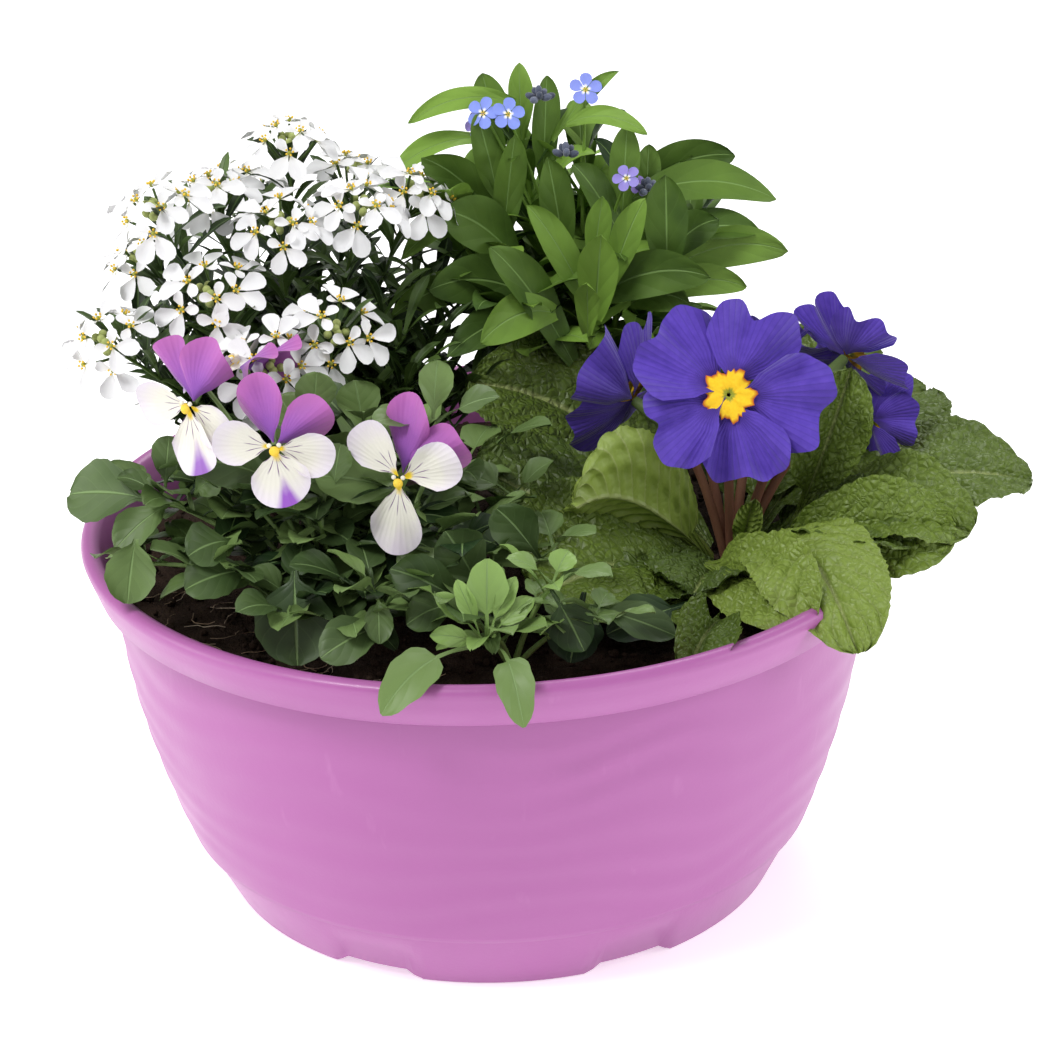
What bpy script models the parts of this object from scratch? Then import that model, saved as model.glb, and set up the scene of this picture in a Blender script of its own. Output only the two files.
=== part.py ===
# Mixed flower planter: a plastic bowl of soil with a candytuft, a forget-me-not,
# a primrose and a horned violet. Lengths are in millimetres and become metres
# when a mesh is made. X is right, Y is away from the front, Z is up. The origin
# is on the bowl's axis, on the surface it stands on.

import math
import random

import bmesh
import bpy
from mathutils import Matrix, Vector
from mathutils.bvhtree import BVHTree

MM = 0.001
UP = Vector((0, 0, 1))
GAP = 0.3
GOLDEN = math.radians(137.5)

# The bowl.
BOWL_SIDES = 32
BOWL_HEIGHT = 121.0
RIM_RADIUS = 130.0
LIP_HEIGHT = 107.1
LIP_RADIUS = 125.5
WALL = 2.0
FOOT_RADIUS = 91.0
FOOT_WIDTH = 5.0
FOOT_LIFT = 3.6
PAD_RADIUS = 14.0
FEET = 7
NOTCH_DEGREES = 18.0
LEDGE_HEIGHT = 21.0
FLOOR_TOP = 6.4
DRAIN_RADIUS = 4.0
DRAIN_RING = 66.0

# The soil, and how far a stem's foot goes into it.
SOIL_TOP = 104.0
ROOT_DEPTH = 9.0
PEG_SIDES = 10
INNER_HEIGHTS = (44.0, 76.0, SOIL_TOP)

# Blade thickness of leaves and petals.
LEAF_THICK = 0.9
PETAL_THICK = 0.8
ROOT_HALF_WIDTH = 0.7
PETAL_OVERLAP = 1.6

# How many bends are tried for a stem or a leaf that has to keep clear of others.
STEM_TRIALS = 12
LEAF_TRIALS = 9


def material(name, colour, roughness):
    """A plain finish for one sub-part."""
    made = bpy.data.materials.new(name)
    made.use_nodes = True
    shader = made.node_tree.nodes["Principled BSDF"]
    shader.inputs["Base Color"].default_value = (*colour, 1)
    shader.inputs["Roughness"].default_value = roughness
    shader.inputs["Metallic"].default_value = 0
    return made


def solid_object(name, bm, finish):
    """Turns a bmesh in millimetres into a named object in metres."""
    bmesh.ops.scale(bm, vec=(MM, MM, MM), verts=bm.verts)
    mesh = bpy.data.meshes.new(name)
    bm.to_mesh(mesh)
    bm.free()
    made = bpy.data.objects.new(name, mesh)
    bpy.context.scene.collection.objects.link(made)
    if finish:
        mesh.materials.append(finish)
    return made


def lathe(profile, sides, bump=None):
    """A closed solid turned about Z. The profile runs from the axis, round, and back to the axis."""
    bm = bmesh.new()
    rings = []
    for radius, height in profile:
        if radius == 0:
            rings.append([bm.verts.new((0, 0, height))])
            continue
        ring = []
        for k in range(sides):
            angle = math.tau * k / sides
            x, y = radius * math.cos(angle), radius * math.sin(angle)
            lift = bump(x, y, radius) if bump and height > SOIL_TOP - 1 else 0
            ring.append(bm.verts.new((x, y, height + lift)))
        rings.append(ring)
    for low, high in zip(rings, rings[1:]):
        for k in range(sides):
            nxt = (k + 1) % sides
            if len(low) == 1:
                bm.faces.new((low[0], high[nxt], high[k]))
            elif len(high) == 1:
                bm.faces.new((low[k], low[nxt], high[0]))
            else:
                bm.faces.new((low[k], low[nxt], high[nxt], high[k]))
    bmesh.ops.recalc_face_normals(bm, faces=bm.faces)
    return bm


def evaluated(target):
    """Replaces an object's mesh by what its modifiers make of it."""
    graph = bpy.context.evaluated_depsgraph_get()
    done = bpy.data.meshes.new_from_object(target.evaluated_get(graph))
    target.modifiers.clear()
    target.data = done


def combine(target, others, operation, solver):
    """One Boolean with a collection of helpers, applied, after which the helpers go."""
    helpers = bpy.data.collections.new("helpers")
    bpy.context.scene.collection.children.link(helpers)
    for other in others:
        bpy.context.scene.collection.objects.unlink(other)
        helpers.objects.link(other)
    boolean = target.modifiers.new("combined", "BOOLEAN")
    boolean.operation = operation
    boolean.operand_type = "COLLECTION"
    boolean.collection = helpers
    boolean.solver = solver
    evaluated(target)
    for other in others:
        bpy.data.objects.remove(other)
    bpy.data.collections.remove(helpers)


def keep_largest(target):
    """Drops every loose scrap but the largest body."""
    bm = bmesh.new()
    bm.from_mesh(target.data)
    left, bodies = set(bm.faces), []
    while left:
        waiting = [left.pop()]
        body = []
        while waiting:
            face = waiting.pop()
            body.append(face)
            pairs = [edge.link_faces for edge in face.edges if len(edge.link_faces) == 2]
            for near in {f for pair in pairs for f in pair if f in left}:
                left.discard(near)
                waiting.append(near)
        bodies.append(body)
    bodies.sort(key=len)
    for scrap in bodies[:-1]:
        bmesh.ops.delete(bm, geom=scrap, context="FACES")
    bmesh.ops.triangulate(bm, faces=bm.faces)
    bm.to_mesh(target.data)
    bm.free()


def fuse(name, pieces, finish):
    """Joins closed pieces, each a bmesh, into one named solid."""
    made = solid_object(name, pieces[0], finish)
    others = [solid_object(name + "_piece", bm, None) for bm in pieces[1:]]
    if others:
        combine(made, others, "UNION", "MANIFOLD")
        keep_largest(made)
    made.data.materials.clear()
    made.data.materials.append(finish)
    return made


# Curves that stems and midribs follow.


def arc_middle(base, tip, arch):
    """The point that pulls the curve. An arch is a height, or a shift in any direction."""
    return (base + tip) / 2 + (arch if isinstance(arch, Vector) else UP * arch)


def arc_point(base, tip, arch, t):
    middle = arc_middle(base, tip, arch)
    return base * (1 - t) ** 2 + middle * 2 * t * (1 - t) + tip * t * t


def arc_direction(base, tip, arch, t):
    middle = arc_middle(base, tip, arch)
    return ((middle - base) * (1 - t) + (tip - middle) * t).normalized()


def stem(base, tip, arch, thick, sides=4, steps=4, taper=0.6):
    """A closed tapered tube along an arc."""
    bm = bmesh.new()
    rings = []
    for i in range(steps + 1):
        t = i / steps
        centre = arc_point(base, tip, arch, t)
        along = arc_direction(base, tip, arch, t)
        side = along.cross(Vector((0.31, 0.95, 0.05))).normalized()
        front = along.cross(side)
        radius = thick * (1 - (1 - taper) * t) / 2
        turn = [math.tau * k / sides for k in range(sides)]
        around = [side * math.cos(a) + front * math.sin(a) for a in turn]
        rings.append([bm.verts.new(centre + way * radius) for way in around])
    for low, high in zip(rings, rings[1:]):
        for k in range(sides):
            nxt = (k + 1) % sides
            bm.faces.new((low[k], low[nxt], high[nxt], high[k]))
    bm.faces.new(rings[0])
    bm.faces.new(rings[-1])
    bmesh.ops.triangulate(bm, faces=bm.faces)
    bmesh.ops.recalc_face_normals(bm, faces=bm.faces)
    return bm


def ball(centre, radius, squash=1.0):
    """A small closed round body."""
    bm = bmesh.new()
    bmesh.ops.create_icosphere(bm, subdivisions=1, radius=radius)
    bmesh.ops.scale(bm, vec=(1, 1, squash), verts=bm.verts)
    bmesh.ops.translate(bm, vec=centre, verts=bm.verts)
    return bm


def peg(x, y, radius, low, high, sides=PEG_SIDES):
    """An upright round peg, such as the foot of a stem in the soil."""
    bm = bmesh.new()
    size = high - low
    bmesh.ops.create_cone(bm, cap_ends=True, segments=sides, radius1=radius, radius2=radius, depth=size)
    bmesh.ops.translate(bm, vec=(x, y, low + size / 2), verts=bm.verts)
    bmesh.ops.triangulate(bm, faces=bm.faces)
    return bm


# Outlines of leaves: half the width, as a share of the widest, at t from stalk to tip.


def lance_outline(t):
    return max(0.10, math.sin(math.pi * min(1, 0.06 + 0.94 * t) ** 0.9)) ** 0.75


def spoon_outline(t):
    if t < 0.4:
        return 0.10 + 0.05 * t
    return 0.12 + 0.88 * math.sin(math.pi * ((t - 0.36) / 0.66) ** 0.85) ** 0.6


def paddle_outline(t):
    if t < 0.22:
        return 0.13 + 0.12 * t
    return 0.15 + 0.85 * math.sin(math.pi * ((t - 0.2) / 0.84) ** 1.25) ** 0.62


def needle_outline(t):
    return 0.35 + 0.65 * math.sin(math.pi * min(1, t) ** 1.6)


def blade(
    base, tip, arch, width, outline, rows, across=2, cup=0.25, roll=0.0, wave=0.0, teeth=0.0, thick=LEAF_THICK
):
    """A closed leaf: two faces that meet at the edge, split alike into triangles."""
    bm = bmesh.new()
    flat = Vector((tip.x - base.x, tip.y - base.y, 0))
    if flat.length < 1:
        flat = Vector((1, 0, 0))
    level = Vector((flat.y, -flat.x, 0)).normalized()
    upper, lower = [], []
    columns = [2 * k / across - 1 for k in range(across + 1)]
    for i in range(rows + 1):
        t = i / rows
        centre = arc_point(base, tip, arch, t)
        along = arc_direction(base, tip, arch, t)
        face = level.cross(along)
        side = level * math.cos(roll) + face * math.sin(roll)
        face = face * math.cos(roll) - level * math.sin(roll)
        if i == rows:
            vert = bm.verts.new(centre)
            upper.append([vert])
            lower.append([vert])
            continue
        half = max(ROOT_HALF_WIDTH, width / 2 * outline(t))
        notch = 1 - teeth * (i % 2)
        up_row, low_row = [], []
        for u in columns:
            out = half * u * (notch if abs(u) == 1 else 1)
            lift = cup * half * abs(u) ** 1.5
            lift += wave * abs(u) * math.sin(math.tau * 2.2 * t + 2.5 * u)
            place = centre + side * out * math.cos(cup * u) + face * lift
            if abs(u) == 1:
                vert = bm.verts.new(place)
                up_row.append(vert)
                low_row.append(vert)
            else:
                depth = face * thick / 2 * (1 - 0.4 * abs(u))
                up_row.append(bm.verts.new(place + depth))
                low_row.append(bm.verts.new(place - depth))
        upper.append(up_row)
        lower.append(low_row)
    for rows_of, flip in ((upper, False), (lower, True)):
        for first, second in zip(rows_of, rows_of[1:]):
            for k in range(across):
                if len(second) == 1:
                    corners = [(first[k], second[0], first[k + 1])]
                else:
                    corners = [(first[k], second[k], second[k + 1]), (first[k], second[k + 1], first[k + 1])]
                for three in corners:
                    bm.faces.new(three[::-1] if flip else three)
    root = upper[0] + lower[0][-2:0:-1]
    bm.faces.new(root)
    bmesh.ops.triangulate(bm, faces=bm.faces)
    bmesh.ops.recalc_face_normals(bm, faces=bm.faces)
    return bm


# Outlines of petals: reach as a share of the longest, at u from -1 to 1 across the petal.


def heart_petal(u):
    return 1 - 0.10 * math.exp(-((u / 0.25) ** 2)) - 0.30 * abs(u) ** 3


def round_petal(u):
    return 1 - 0.42 * abs(u) ** 2.4


def petal(
    centre, normal, spin, spread, reach, outline, rows=2, across=4, cup=0.0, lift=0.0, tilt=0.0, ruffle=0.0
):
    """A closed petal in a sector about the flower's centre, in the plane across its normal."""
    bm = bmesh.new()
    right = normal.cross(UP).normalized() * -1
    above = right.cross(normal) * -1
    outward = right * math.cos(spin) + above * math.sin(spin)
    heart = centre + normal * lift - outward * PETAL_OVERLAP
    upper, lower = [], []
    depth = normal * PETAL_THICK / 2
    upper.append([bm.verts.new(heart + depth)])
    lower.append([bm.verts.new(heart - depth)])
    for i in range(1, rows + 1):
        t = i / rows
        up_row, low_row = [], []
        for k in range(across + 1):
            u = 2 * k / across - 1
            angle = spin + u * spread
            radius = reach * outline(u) * t
            rise = cup * (radius / reach) ** 2 * reach + tilt * u * t * reach
            rise += ruffle * t * t * math.sin(5 * u + spin * 3)
            place = heart + (right * math.cos(angle) + above * math.sin(angle)) * radius + normal * rise
            if i == rows:
                vert = bm.verts.new(place)
                up_row.append(vert)
                low_row.append(vert)
            else:
                up_row.append(bm.verts.new(place + depth))
                low_row.append(bm.verts.new(place - depth))
        upper.append(up_row)
        lower.append(low_row)
    for rows_of, flip in ((upper, False), (lower, True)):
        for first, second in zip(rows_of, rows_of[1:]):
            for k in range(across):
                if len(first) == 1:
                    corners = [(first[0], second[k], second[k + 1])]
                else:
                    corners = [(first[k], second[k], second[k + 1]), (first[k], second[k + 1], first[k + 1])]
                for three in corners:
                    bm.faces.new(three[::-1] if flip else three)
    for column in (0, across):
        chain_up = [row[0] if len(row) == 1 else row[column] for row in upper]
        chain_low = [row[0] if len(row) == 1 else row[column] for row in lower]
        for k in range(rows):
            quad = [chain_up[k], chain_up[k + 1], chain_low[k + 1], chain_low[k]]
            corners = list(dict.fromkeys(quad))
            bm.faces.new(corners if column else corners[::-1])
    bmesh.ops.triangulate(bm, faces=bm.faces)
    bmesh.ops.recalc_face_normals(bm, faces=bm.faces)
    return bm


def floret(heart, centre, normal, reach, lobes, spin, deep=0.45, cup=0.15, thick=1.0, stalk=0.8):
    """A small closed flower of equal round lobes on a thin stalk that starts at the heart of its head."""
    bm = bmesh.new()
    right = normal.cross(Vector((0.3, 0.2, 0.93))).normalized()
    above = normal.cross(right)
    count = lobes * 3
    edge, neck, root = [], [], []
    for k in range(count):
        angle = spin + math.tau * k / count
        share = (1 - deep, 1.0, 1.0)[k % 3]
        out = (right * math.cos(angle) + above * math.sin(angle)) * reach * share
        edge.append(bm.verts.new(centre + out + normal * cup * reach * share * share))
    for k in range(lobes):
        angle = spin + math.tau * k / lobes
        out = (right * math.cos(angle) + above * math.sin(angle)) * stalk
        neck.append(bm.verts.new(centre + out - normal * thick / 2))
        root.append(bm.verts.new(heart + out))
    top = bm.verts.new(centre + normal * thick / 2)
    for k in range(count):
        bm.faces.new((top, edge[k], edge[(k + 1) % count]))
    for k in range(lobes):
        nxt = (k + 1) % lobes
        near = 3 * k
        far = 3 * nxt
        bm.faces.new((neck[k], edge[near + 1], edge[near]))
        bm.faces.new((neck[k], edge[near + 2], edge[near + 1]))
        bm.faces.new((neck[k], neck[nxt], edge[near + 2]))
        bm.faces.new((neck[nxt], edge[far], edge[near + 2]))
        bm.faces.new((root[k], root[nxt], neck[nxt], neck[k]))
    bm.faces.new(root)
    bmesh.ops.triangulate(bm, faces=bm.faces)
    bmesh.ops.recalc_face_normals(bm, faces=bm.faces)
    return bm


# What is already in place, for leaves that have to keep clear of it.

placed = {}


def remember(name, target):
    """Keeps a finished solid's surface, in millimetres, for the test below."""
    points = [v.co / MM for v in target.data.vertices]
    faces = [tuple(p.vertices) for p in target.data.polygons]
    placed[name] = BVHTree.FromPolygons(points, faces)


def crosses(bm, others):
    tree = BVHTree.FromBMesh(bm)
    return any(tree.overlap(other) for other in others)


def clear_blade(plant, base, tip, arch, width, outline, rows, own=True, start=0.16, **shape):
    """Adds a leaf, bent in steps until it is clear of what is placed, or leaves it out."""
    bow = arch if isinstance(arch, Vector) else UP * arch
    fat = dict(shape, thick=LEAF_THICK + 2 * GAP)
    for step in range(LEAF_TRIALS):
        shift = 5 * ((step + 1) // 2) * (-1) ** step
        pull = 1 - 0.02 * step
        end = base + (tip + UP * shift * 0.7 - base) * pull
        rise = bow + UP * shift
        near = arc_point(base, end, rise, start)
        leaf = blade(base, end, rise, width * pull, outline, rows, **shape)
        whole = blade(base, end, rise, width * pull * 1.03, outline, rows, **fat)
        outer = blade(near, end, rise * (1 - start), width * pull, outline, rows, **fat)
        free = not (crosses(leaf, placed.values()) or crosses(whole, placed.values()))
        free = free and not (own and crosses(outer, plant["trees"]))
        whole.free()
        outer.free()
        if free:
            plant["trees"].append(BVHTree.FromBMesh(leaf))
            plant["pieces"].append(leaf)
            return True
        leaf.free()
    return False


def add_stem(plant, base, tip, arch, thick, **shape):
    """Adds a stem, bowed to one side or the other until it is clear of what is placed."""
    sideways = (tip - base).cross(UP)
    if sideways.length < 0.01:
        sideways = Vector((1, 0, 0))
    sideways.normalize()
    forward = sideways.cross(UP)
    for k in range(STEM_TRIALS):
        swing = 3 + 2 * k if k else 0
        bow = UP * arch + (sideways * math.cos(0.9 * k) + forward * math.sin(0.9 * k)) * swing
        test = stem(base, arc_point(base, tip, bow, 0.99), bow, thick + 2 * GAP, **shape)
        free = not crosses(test, placed.values())
        test.free()
        if free:
            break
    made = stem(base, tip, bow, thick, **shape)
    plant["trees"].append(BVHTree.FromBMesh(made))
    plant["pieces"].append(made)
    return bow


# The bowl and its soil.


def wall_radius(height):
    """The bowl's outer radius above its foot."""
    rise = max(0.0, min(1.0, (height - 16) / 90))
    return 100.4 + 19.8 * (1 - (1 - rise) ** 1.76)


def make_bowl(finish):
    outside = [
        (0, 0),
        (PAD_RADIUS, 0),
        (PAD_RADIUS + 2, FOOT_LIFT),
        (FOOT_RADIUS - FOOT_WIDTH - 1, FOOT_LIFT),
        (FOOT_RADIUS - FOOT_WIDTH, 0),
        (FOOT_RADIUS, 0),
        (wall_radius(LEDGE_HEIGHT) - 1.2, LEDGE_HEIGHT),
    ]
    outside += [(wall_radius(z), z) for z in (LEDGE_HEIGHT + 0.8, 42, 64, 86, LIP_HEIGHT)]
    flange = [
        (121.8, 112.0),
        (125.2, 112.8),
        (LIP_RADIUS - 1.7, LIP_HEIGHT),
        (LIP_RADIUS, LIP_HEIGHT),
        (RIM_RADIUS - 0.6, 116.0),
        (RIM_RADIUS, 118.6),
        (RIM_RADIUS - 1.8, BOWL_HEIGHT),
        (126.0, BOWL_HEIGHT),
        (124.3, 119.2),
        (120.4, 114.0),
    ]
    inside = [(wall_radius(z) - WALL, z) for z in reversed(INNER_HEIGHTS)]
    inside += [(95.0, FLOOR_TOP + 5), (90.0, FLOOR_TOP), (0, FLOOR_TOP)]
    bowl = solid_object("bowl", lathe(outside + flange + inside, BOWL_SIDES), finish)
    cutters = []
    for k in range(FEET):
        angle = math.tau * (k + 0.5) / FEET - math.pi / 2
        bm = bmesh.new()
        bmesh.ops.create_cube(bm, size=1)
        width = 2 * FOOT_RADIUS * math.sin(math.radians(NOTCH_DEGREES / 2))
        bmesh.ops.scale(bm, vec=(26, width, 2 * FOOT_LIFT - 1.0), verts=bm.verts)
        bmesh.ops.translate(bm, vec=(FOOT_RADIUS, 0, 0), verts=bm.verts)
        turn = Matrix.Rotation(angle, 3, "Z")
        bmesh.ops.rotate(bm, matrix=turn, verts=bm.verts)
        cutters.append(solid_object("notch", bm, None))
        hole = peg(DRAIN_RING * math.cos(angle), DRAIN_RING * math.sin(angle), DRAIN_RADIUS, 0, 12, 8)
        cutters.append(solid_object("drain", hole, None))
    combine(bowl, cutters, "DIFFERENCE", "EXACT")
    return bowl


def soil_bump(x, y, radius):
    rough = 1.1 * math.sin(0.11 * x + 1.3) * math.cos(0.09 * y) + 0.8 * math.sin(0.23 * x - 0.19 * y)
    return rough * min(1.0, (116 - radius) / 20) if radius < 116 else 0


def make_soil(finish, pegs):
    """The potting soil, with a plain hole for the foot of each plant."""
    side = [(wall_radius(z) - WALL - GAP, z) for z in INNER_HEIGHTS]
    top = [(r, SOIL_TOP) for r in (100, 74, 48, 22)]
    profile = [(0, FLOOR_TOP + GAP), (89.6, FLOOR_TOP + GAP), (94.6, FLOOR_TOP + GAP + 5)]
    profile += side + top + [(0, SOIL_TOP)]
    soil = solid_object("soil", lathe(profile, BOWL_SIDES, soil_bump), finish)
    cutters = []
    for x, y, radius in pegs:
        low = SOIL_TOP - ROOT_DEPTH - GAP
        clear = (radius + GAP) / math.cos(math.pi / PEG_SIDES)
        cutters.append(solid_object("hole", peg(x, y, clear, low, SOIL_TOP + 12), None))
    combine(soil, cutters, "DIFFERENCE", "EXACT")
    return soil


# Where the plants stand: x, y and the radius of the foot in the soil.

CANDYTUFT = (-62, 34, 6)
FORGET_ME_NOT = (32, 56, 8)
PRIMROSE = (76, -12, 12)
VIOLET = (-46, -58, 7)
VIOLET_FRONT = (6, -88, 5)
FEET_IN_SOIL = (CANDYTUFT, FORGET_ME_NOT, PRIMROSE, VIOLET, VIOLET_FRONT)
STALK_RADIUS = 5.0
RING_SIDES = 12


def foot(plant, top=SOIL_TOP + 5):
    x, y, radius = plant
    return peg(x, y, radius, SOIL_TOP - ROOT_DEPTH, top)


def crown(plant, height=3.0):
    return Vector((plant[0], plant[1], SOIL_TOP + height))


# The primrose. A bloom is where its eye is, the way it faces, its reach and its turn.

PRIMROSE_BLOOMS = [
    ((74, -34, 169), (0.0, -0.92, 0.40), 30, 12),
    ((46, -14, 158), (-0.86, -0.45, 0.22), 26, 40),
    ((53, 18, 170), (-0.42, 0.12, 0.90), 22, 5),
    ((93, 22, 173), (0.34, 0.16, 0.92), 22, 30),
    ((110, -4, 171), (0.80, -0.42, 0.42), 22, 55),
    ((121, 4, 146), (0.82, -0.46, -0.20), 18, 20),
]
# A leaf's tip, the pull on its middle, its width, roll in degrees and cup.
PRIMROSE_LEAVES = [
    ((-5, 8, 164), (4, 28, 14), 60, 22, 0.10),
    ((-4, -26, 150), (6, -8, -6), 58, 20, 0.12),
    ((26, -52, 146), (-4, -4, 22), 42, -62, 0.35),
    ((14, -66, 126), (0, -6, 12), 60, 18, 0.16),
    ((114, -78, 112), (4, -6, 30), 50, -10, -0.22),
    ((174, -16, 124), (0, 0, 12), 58, -14, 0.06),
    ((149, -36, 126), (0, -4, 18), 38, -18, 0.30),
    ((145, 44, 142), (0, 6, 20), 58, -12, 0.12),
    ((107, -28, 170), (6, -4, 0), 28, 20, 0.55),
    ((120, 56, 158), (0, 6, 14), 50, -8, 0.14),
    ((152, 24, 126), (0, 0, 8), 44, -8, 0.20),
    ((88, 78, 146), (0, 6, 18), 48, 0, 0.16),
    ((60, -68, 122), (0, -2, 6), 34, 0, 0.20),
]


PRIMROSE_PETAL = dict(cup=0.10, tilt=0.10, ruffle=0.9)
EYE_REACH = 8.2


def make_primrose_bloom(index, place, facing, reach, turn, violet, yellow):
    normal = Vector(facing).normalized()
    heart = Vector(place)
    petals = []
    for k in range(5):
        spin = math.radians(turn) + math.tau * k / 5
        lift = 0.25 * (k % 2)
        petals.append(petal(heart, normal, spin, 0.60, reach, heart_petal, lift=lift, **PRIMROSE_PETAL))
    corolla = fuse(f"primrose_bloom_{index}", petals, violet)
    remember(corolla.name, corolla)
    above = heart + normal * (PETAL_THICK / 2 + 0.5 + GAP + 1.5)
    under = above - normal * 0.9
    shape = dict(deep=0.22, cup=0.05, thick=1.2, stalk=3.0)
    star = floret(under, above, normal, EYE_REACH, 5, math.radians(turn), **shape)
    eye = solid_object(f"primrose_eye_{index}", star, yellow)
    remember(eye.name, eye)


def make_primrose(green, violet, yellow, stalk_red):
    for index, (place, facing, reach, turn) in enumerate(PRIMROSE_BLOOMS, 1):
        make_primrose_bloom(index, place, facing, reach, turn, violet, yellow)
    root = crown(PRIMROSE)
    stalks = [peg(root.x, root.y, STALK_RADIUS, SOIL_TOP - ROOT_DEPTH, SOIL_TOP + 9)]
    for place, facing, reach, turn in PRIMROSE_BLOOMS:
        back = Vector(place) - Vector(facing).normalized() * (PETAL_THICK / 2 + GAP + 0.2)
        neck = back - Vector(facing).normalized() * 13
        start = root + (Vector((neck.x, neck.y, root.z)) - root) * 0.04 + UP * 2
        stalks.append(stem(start, neck, 20, 3.4, steps=3, taper=0.8))
        stalks.append(stem(neck - (back - neck) * 0.1, back, 0, 3.2, steps=1, taper=1.5))
    bunch = fuse("primrose_stalks", stalks, stalk_red)
    remember(bunch.name, bunch)
    ring = make_ring(PRIMROSE, STALK_RADIUS + GAP)
    plant = {"pieces": [ring], "trees": []}
    for tip, pull, width, roll, cup in PRIMROSE_LEAVES:
        end = Vector(tip)
        bow = Vector(pull)
        toward = (end - root) / 2 + bow
        out = Vector((toward.x, toward.y, 0)).normalized()
        base = root + out * 8.5 + UP * 1
        shape = dict(start=0.4, across=4, roll=math.radians(roll), cup=cup, wave=1.3, teeth=0.05)
        if not clear_blade(plant, base, end, bow, width, paddle_outline, 8, **shape):
            clear_blade(plant, base, end, bow, width, paddle_outline, 8, own=False, **shape)
    rosette = fuse("primrose_leaves", plant["pieces"], green)
    remember(rosette.name, rosette)


def make_ring(plant, hole):
    """The short stock that the leaf stalks grow from, open down its middle for the flower stalks."""
    x, y, radius = plant
    bm = bmesh.new()
    bottom, top = SOIL_TOP - ROOT_DEPTH, SOIL_TOP + 5
    loops = []
    for size, height in ((hole, bottom), (radius, bottom), (radius, top - 2), (radius - 3, top), (hole, top)):
        turn = [math.tau * k / RING_SIDES for k in range(RING_SIDES)]
        scale = 1 / math.cos(math.pi / RING_SIDES) if size == hole else 1
        spots = [(x + size * scale * math.cos(a), y + size * scale * math.sin(a), height) for a in turn]
        loops.append([bm.verts.new(spot) for spot in spots])
    for low, high in zip(loops, loops[1:] + loops[:1]):
        for k in range(RING_SIDES):
            nxt = (k + 1) % RING_SIDES
            bm.faces.new((low[k], low[nxt], high[nxt], high[k]))
    bmesh.ops.triangulate(bm, faces=bm.faces)
    bmesh.ops.recalc_face_normals(bm, faces=bm.faces)
    return bm


# The horned violet. A bloom is where its eye is, the way it faces, its size and its turn.

VIOLET_BLOOMS = [
    ((-87, -61, 180), (-0.62, -0.76, 0.16), 20, 0),
    ((-59, -74, 172), (0.06, -0.96, 0.26), 19, 0),
    ((-25, -72, 160), (-0.24, -0.95, 0.16), 22, -14),
    ((-74, -36, 186), (-0.50, 0.30, 0.80), 17, 20),
]


def make_violet_bloom(index, place, facing, size, turn, lilac, white, yellow):
    normal = Vector(facing).normalized()
    heart = Vector(place)
    lean = math.radians(turn)
    side = math.radians(90)
    lateral = []
    for k in (-1, 1):
        spin = side + lean + k * math.radians(72)
        wide = dict(cup=0.14, tilt=0.08 * k, lift=0.11 * k)
        lateral.append(petal(heart, normal, spin, 0.66, size * 0.98, round_petal, **wide))
    spin = side + lean + math.radians(181.5)
    lateral.append(petal(heart, normal, spin, 0.60, size * 1.18, round_petal, cup=0.14, lift=0.35))
    lower = fuse(f"violet_bloom_{index}_white", lateral, white)
    remember(lower.name, lower)
    behind = heart - normal * (PETAL_THICK + 1.4)
    upper = []
    for k in (-1, 1):
        spin = side + lean + k * math.radians(31)
        upper.append(petal(behind, normal, spin, 0.52, size * 1.12, round_petal, cup=-0.10, lift=0.1 * k))
    banner = fuse(f"violet_bloom_{index}_lilac", upper, lilac)
    remember(banner.name, banner)
    eye = ball(heart + normal * (2.4 + PETAL_THICK / 2 + 0.3 + GAP), 2.2)
    spot = solid_object(f"violet_eye_{index}", eye, yellow)
    remember(spot.name, spot)


# A stem's end, its arch, and its large leaves: where on the stem, the tip, the pull and the width.
VIOLET_STEMS = [
    ((-112, -52, 128), 16, [(0.8, (-106, -78, 134), (0, -4, 8), 15)]),
    ((-84, -72, 132), 14, [(0.93, (-92, -92, 128), (0, -2, 6), 15)]),
    ((-60, -86, 125), 10, [(0.9, (-66, -102, 120), (0, -4, 5), 20)]),
    ((-30, -92, 130), 16, [(0.9, (-44, -106, 126), (0, -2, 6), 15)]),
    ((-18, -66, 138), 16, []),
    ((-60, -46, 150), 12, []),
    ((-100, -46, 147), 14, [(0.95, (-127, -31, 144), (0, 0, 5), 23)]),
    ((-36, -36, 148), 12, []),
    ((-50, -72, 150), 10, []),
]
VIOLET_FRONT_STEMS = [
    ((2, -110, 129), 8, [(0.9, (10, -139, 111), (0, -7, 14), 12), (0.8, (-34, -134, 113), (-2, -6, 15), 13)]),
    ((20, -90, 136), 10, [(0.6, (27, -104, 120), (0, -2, 6), 15)]),
    ((-12, -96, 132), 8, []),
    ((34, -98, 126), 10, [(0.95, (55, -96, 118), (0, 0, 6), 13)]),
]

# How a plant's small leaves are set: from where to where on the stem, their size and form, and
# how steeply the lowest rise, in degrees.
CANDYTUFT_HABIT = dict(start=0.45, stop=0.9, length=22, width=3.8, outline=needle_outline)
CANDYTUFT_HABIT.update(pitch=12, rows=2, cup=0.15, teeth=0.0)
VIOLET_HABIT = dict(start=0.4, stop=1.0, length=28, width=16, outline=spoon_outline)
VIOLET_HABIT.update(pitch=4, rows=4, cup=0.2, teeth=0.10)
VIOLET_FRONT_HABIT = dict(VIOLET_HABIT, length=27, width=14, pitch=2)
FORGET_HABIT = dict(start=0.45, stop=1.0, length=42, width=15, outline=lance_outline)
FORGET_HABIT.update(pitch=12, rows=3, cup=0.22, teeth=0.0)


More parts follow.
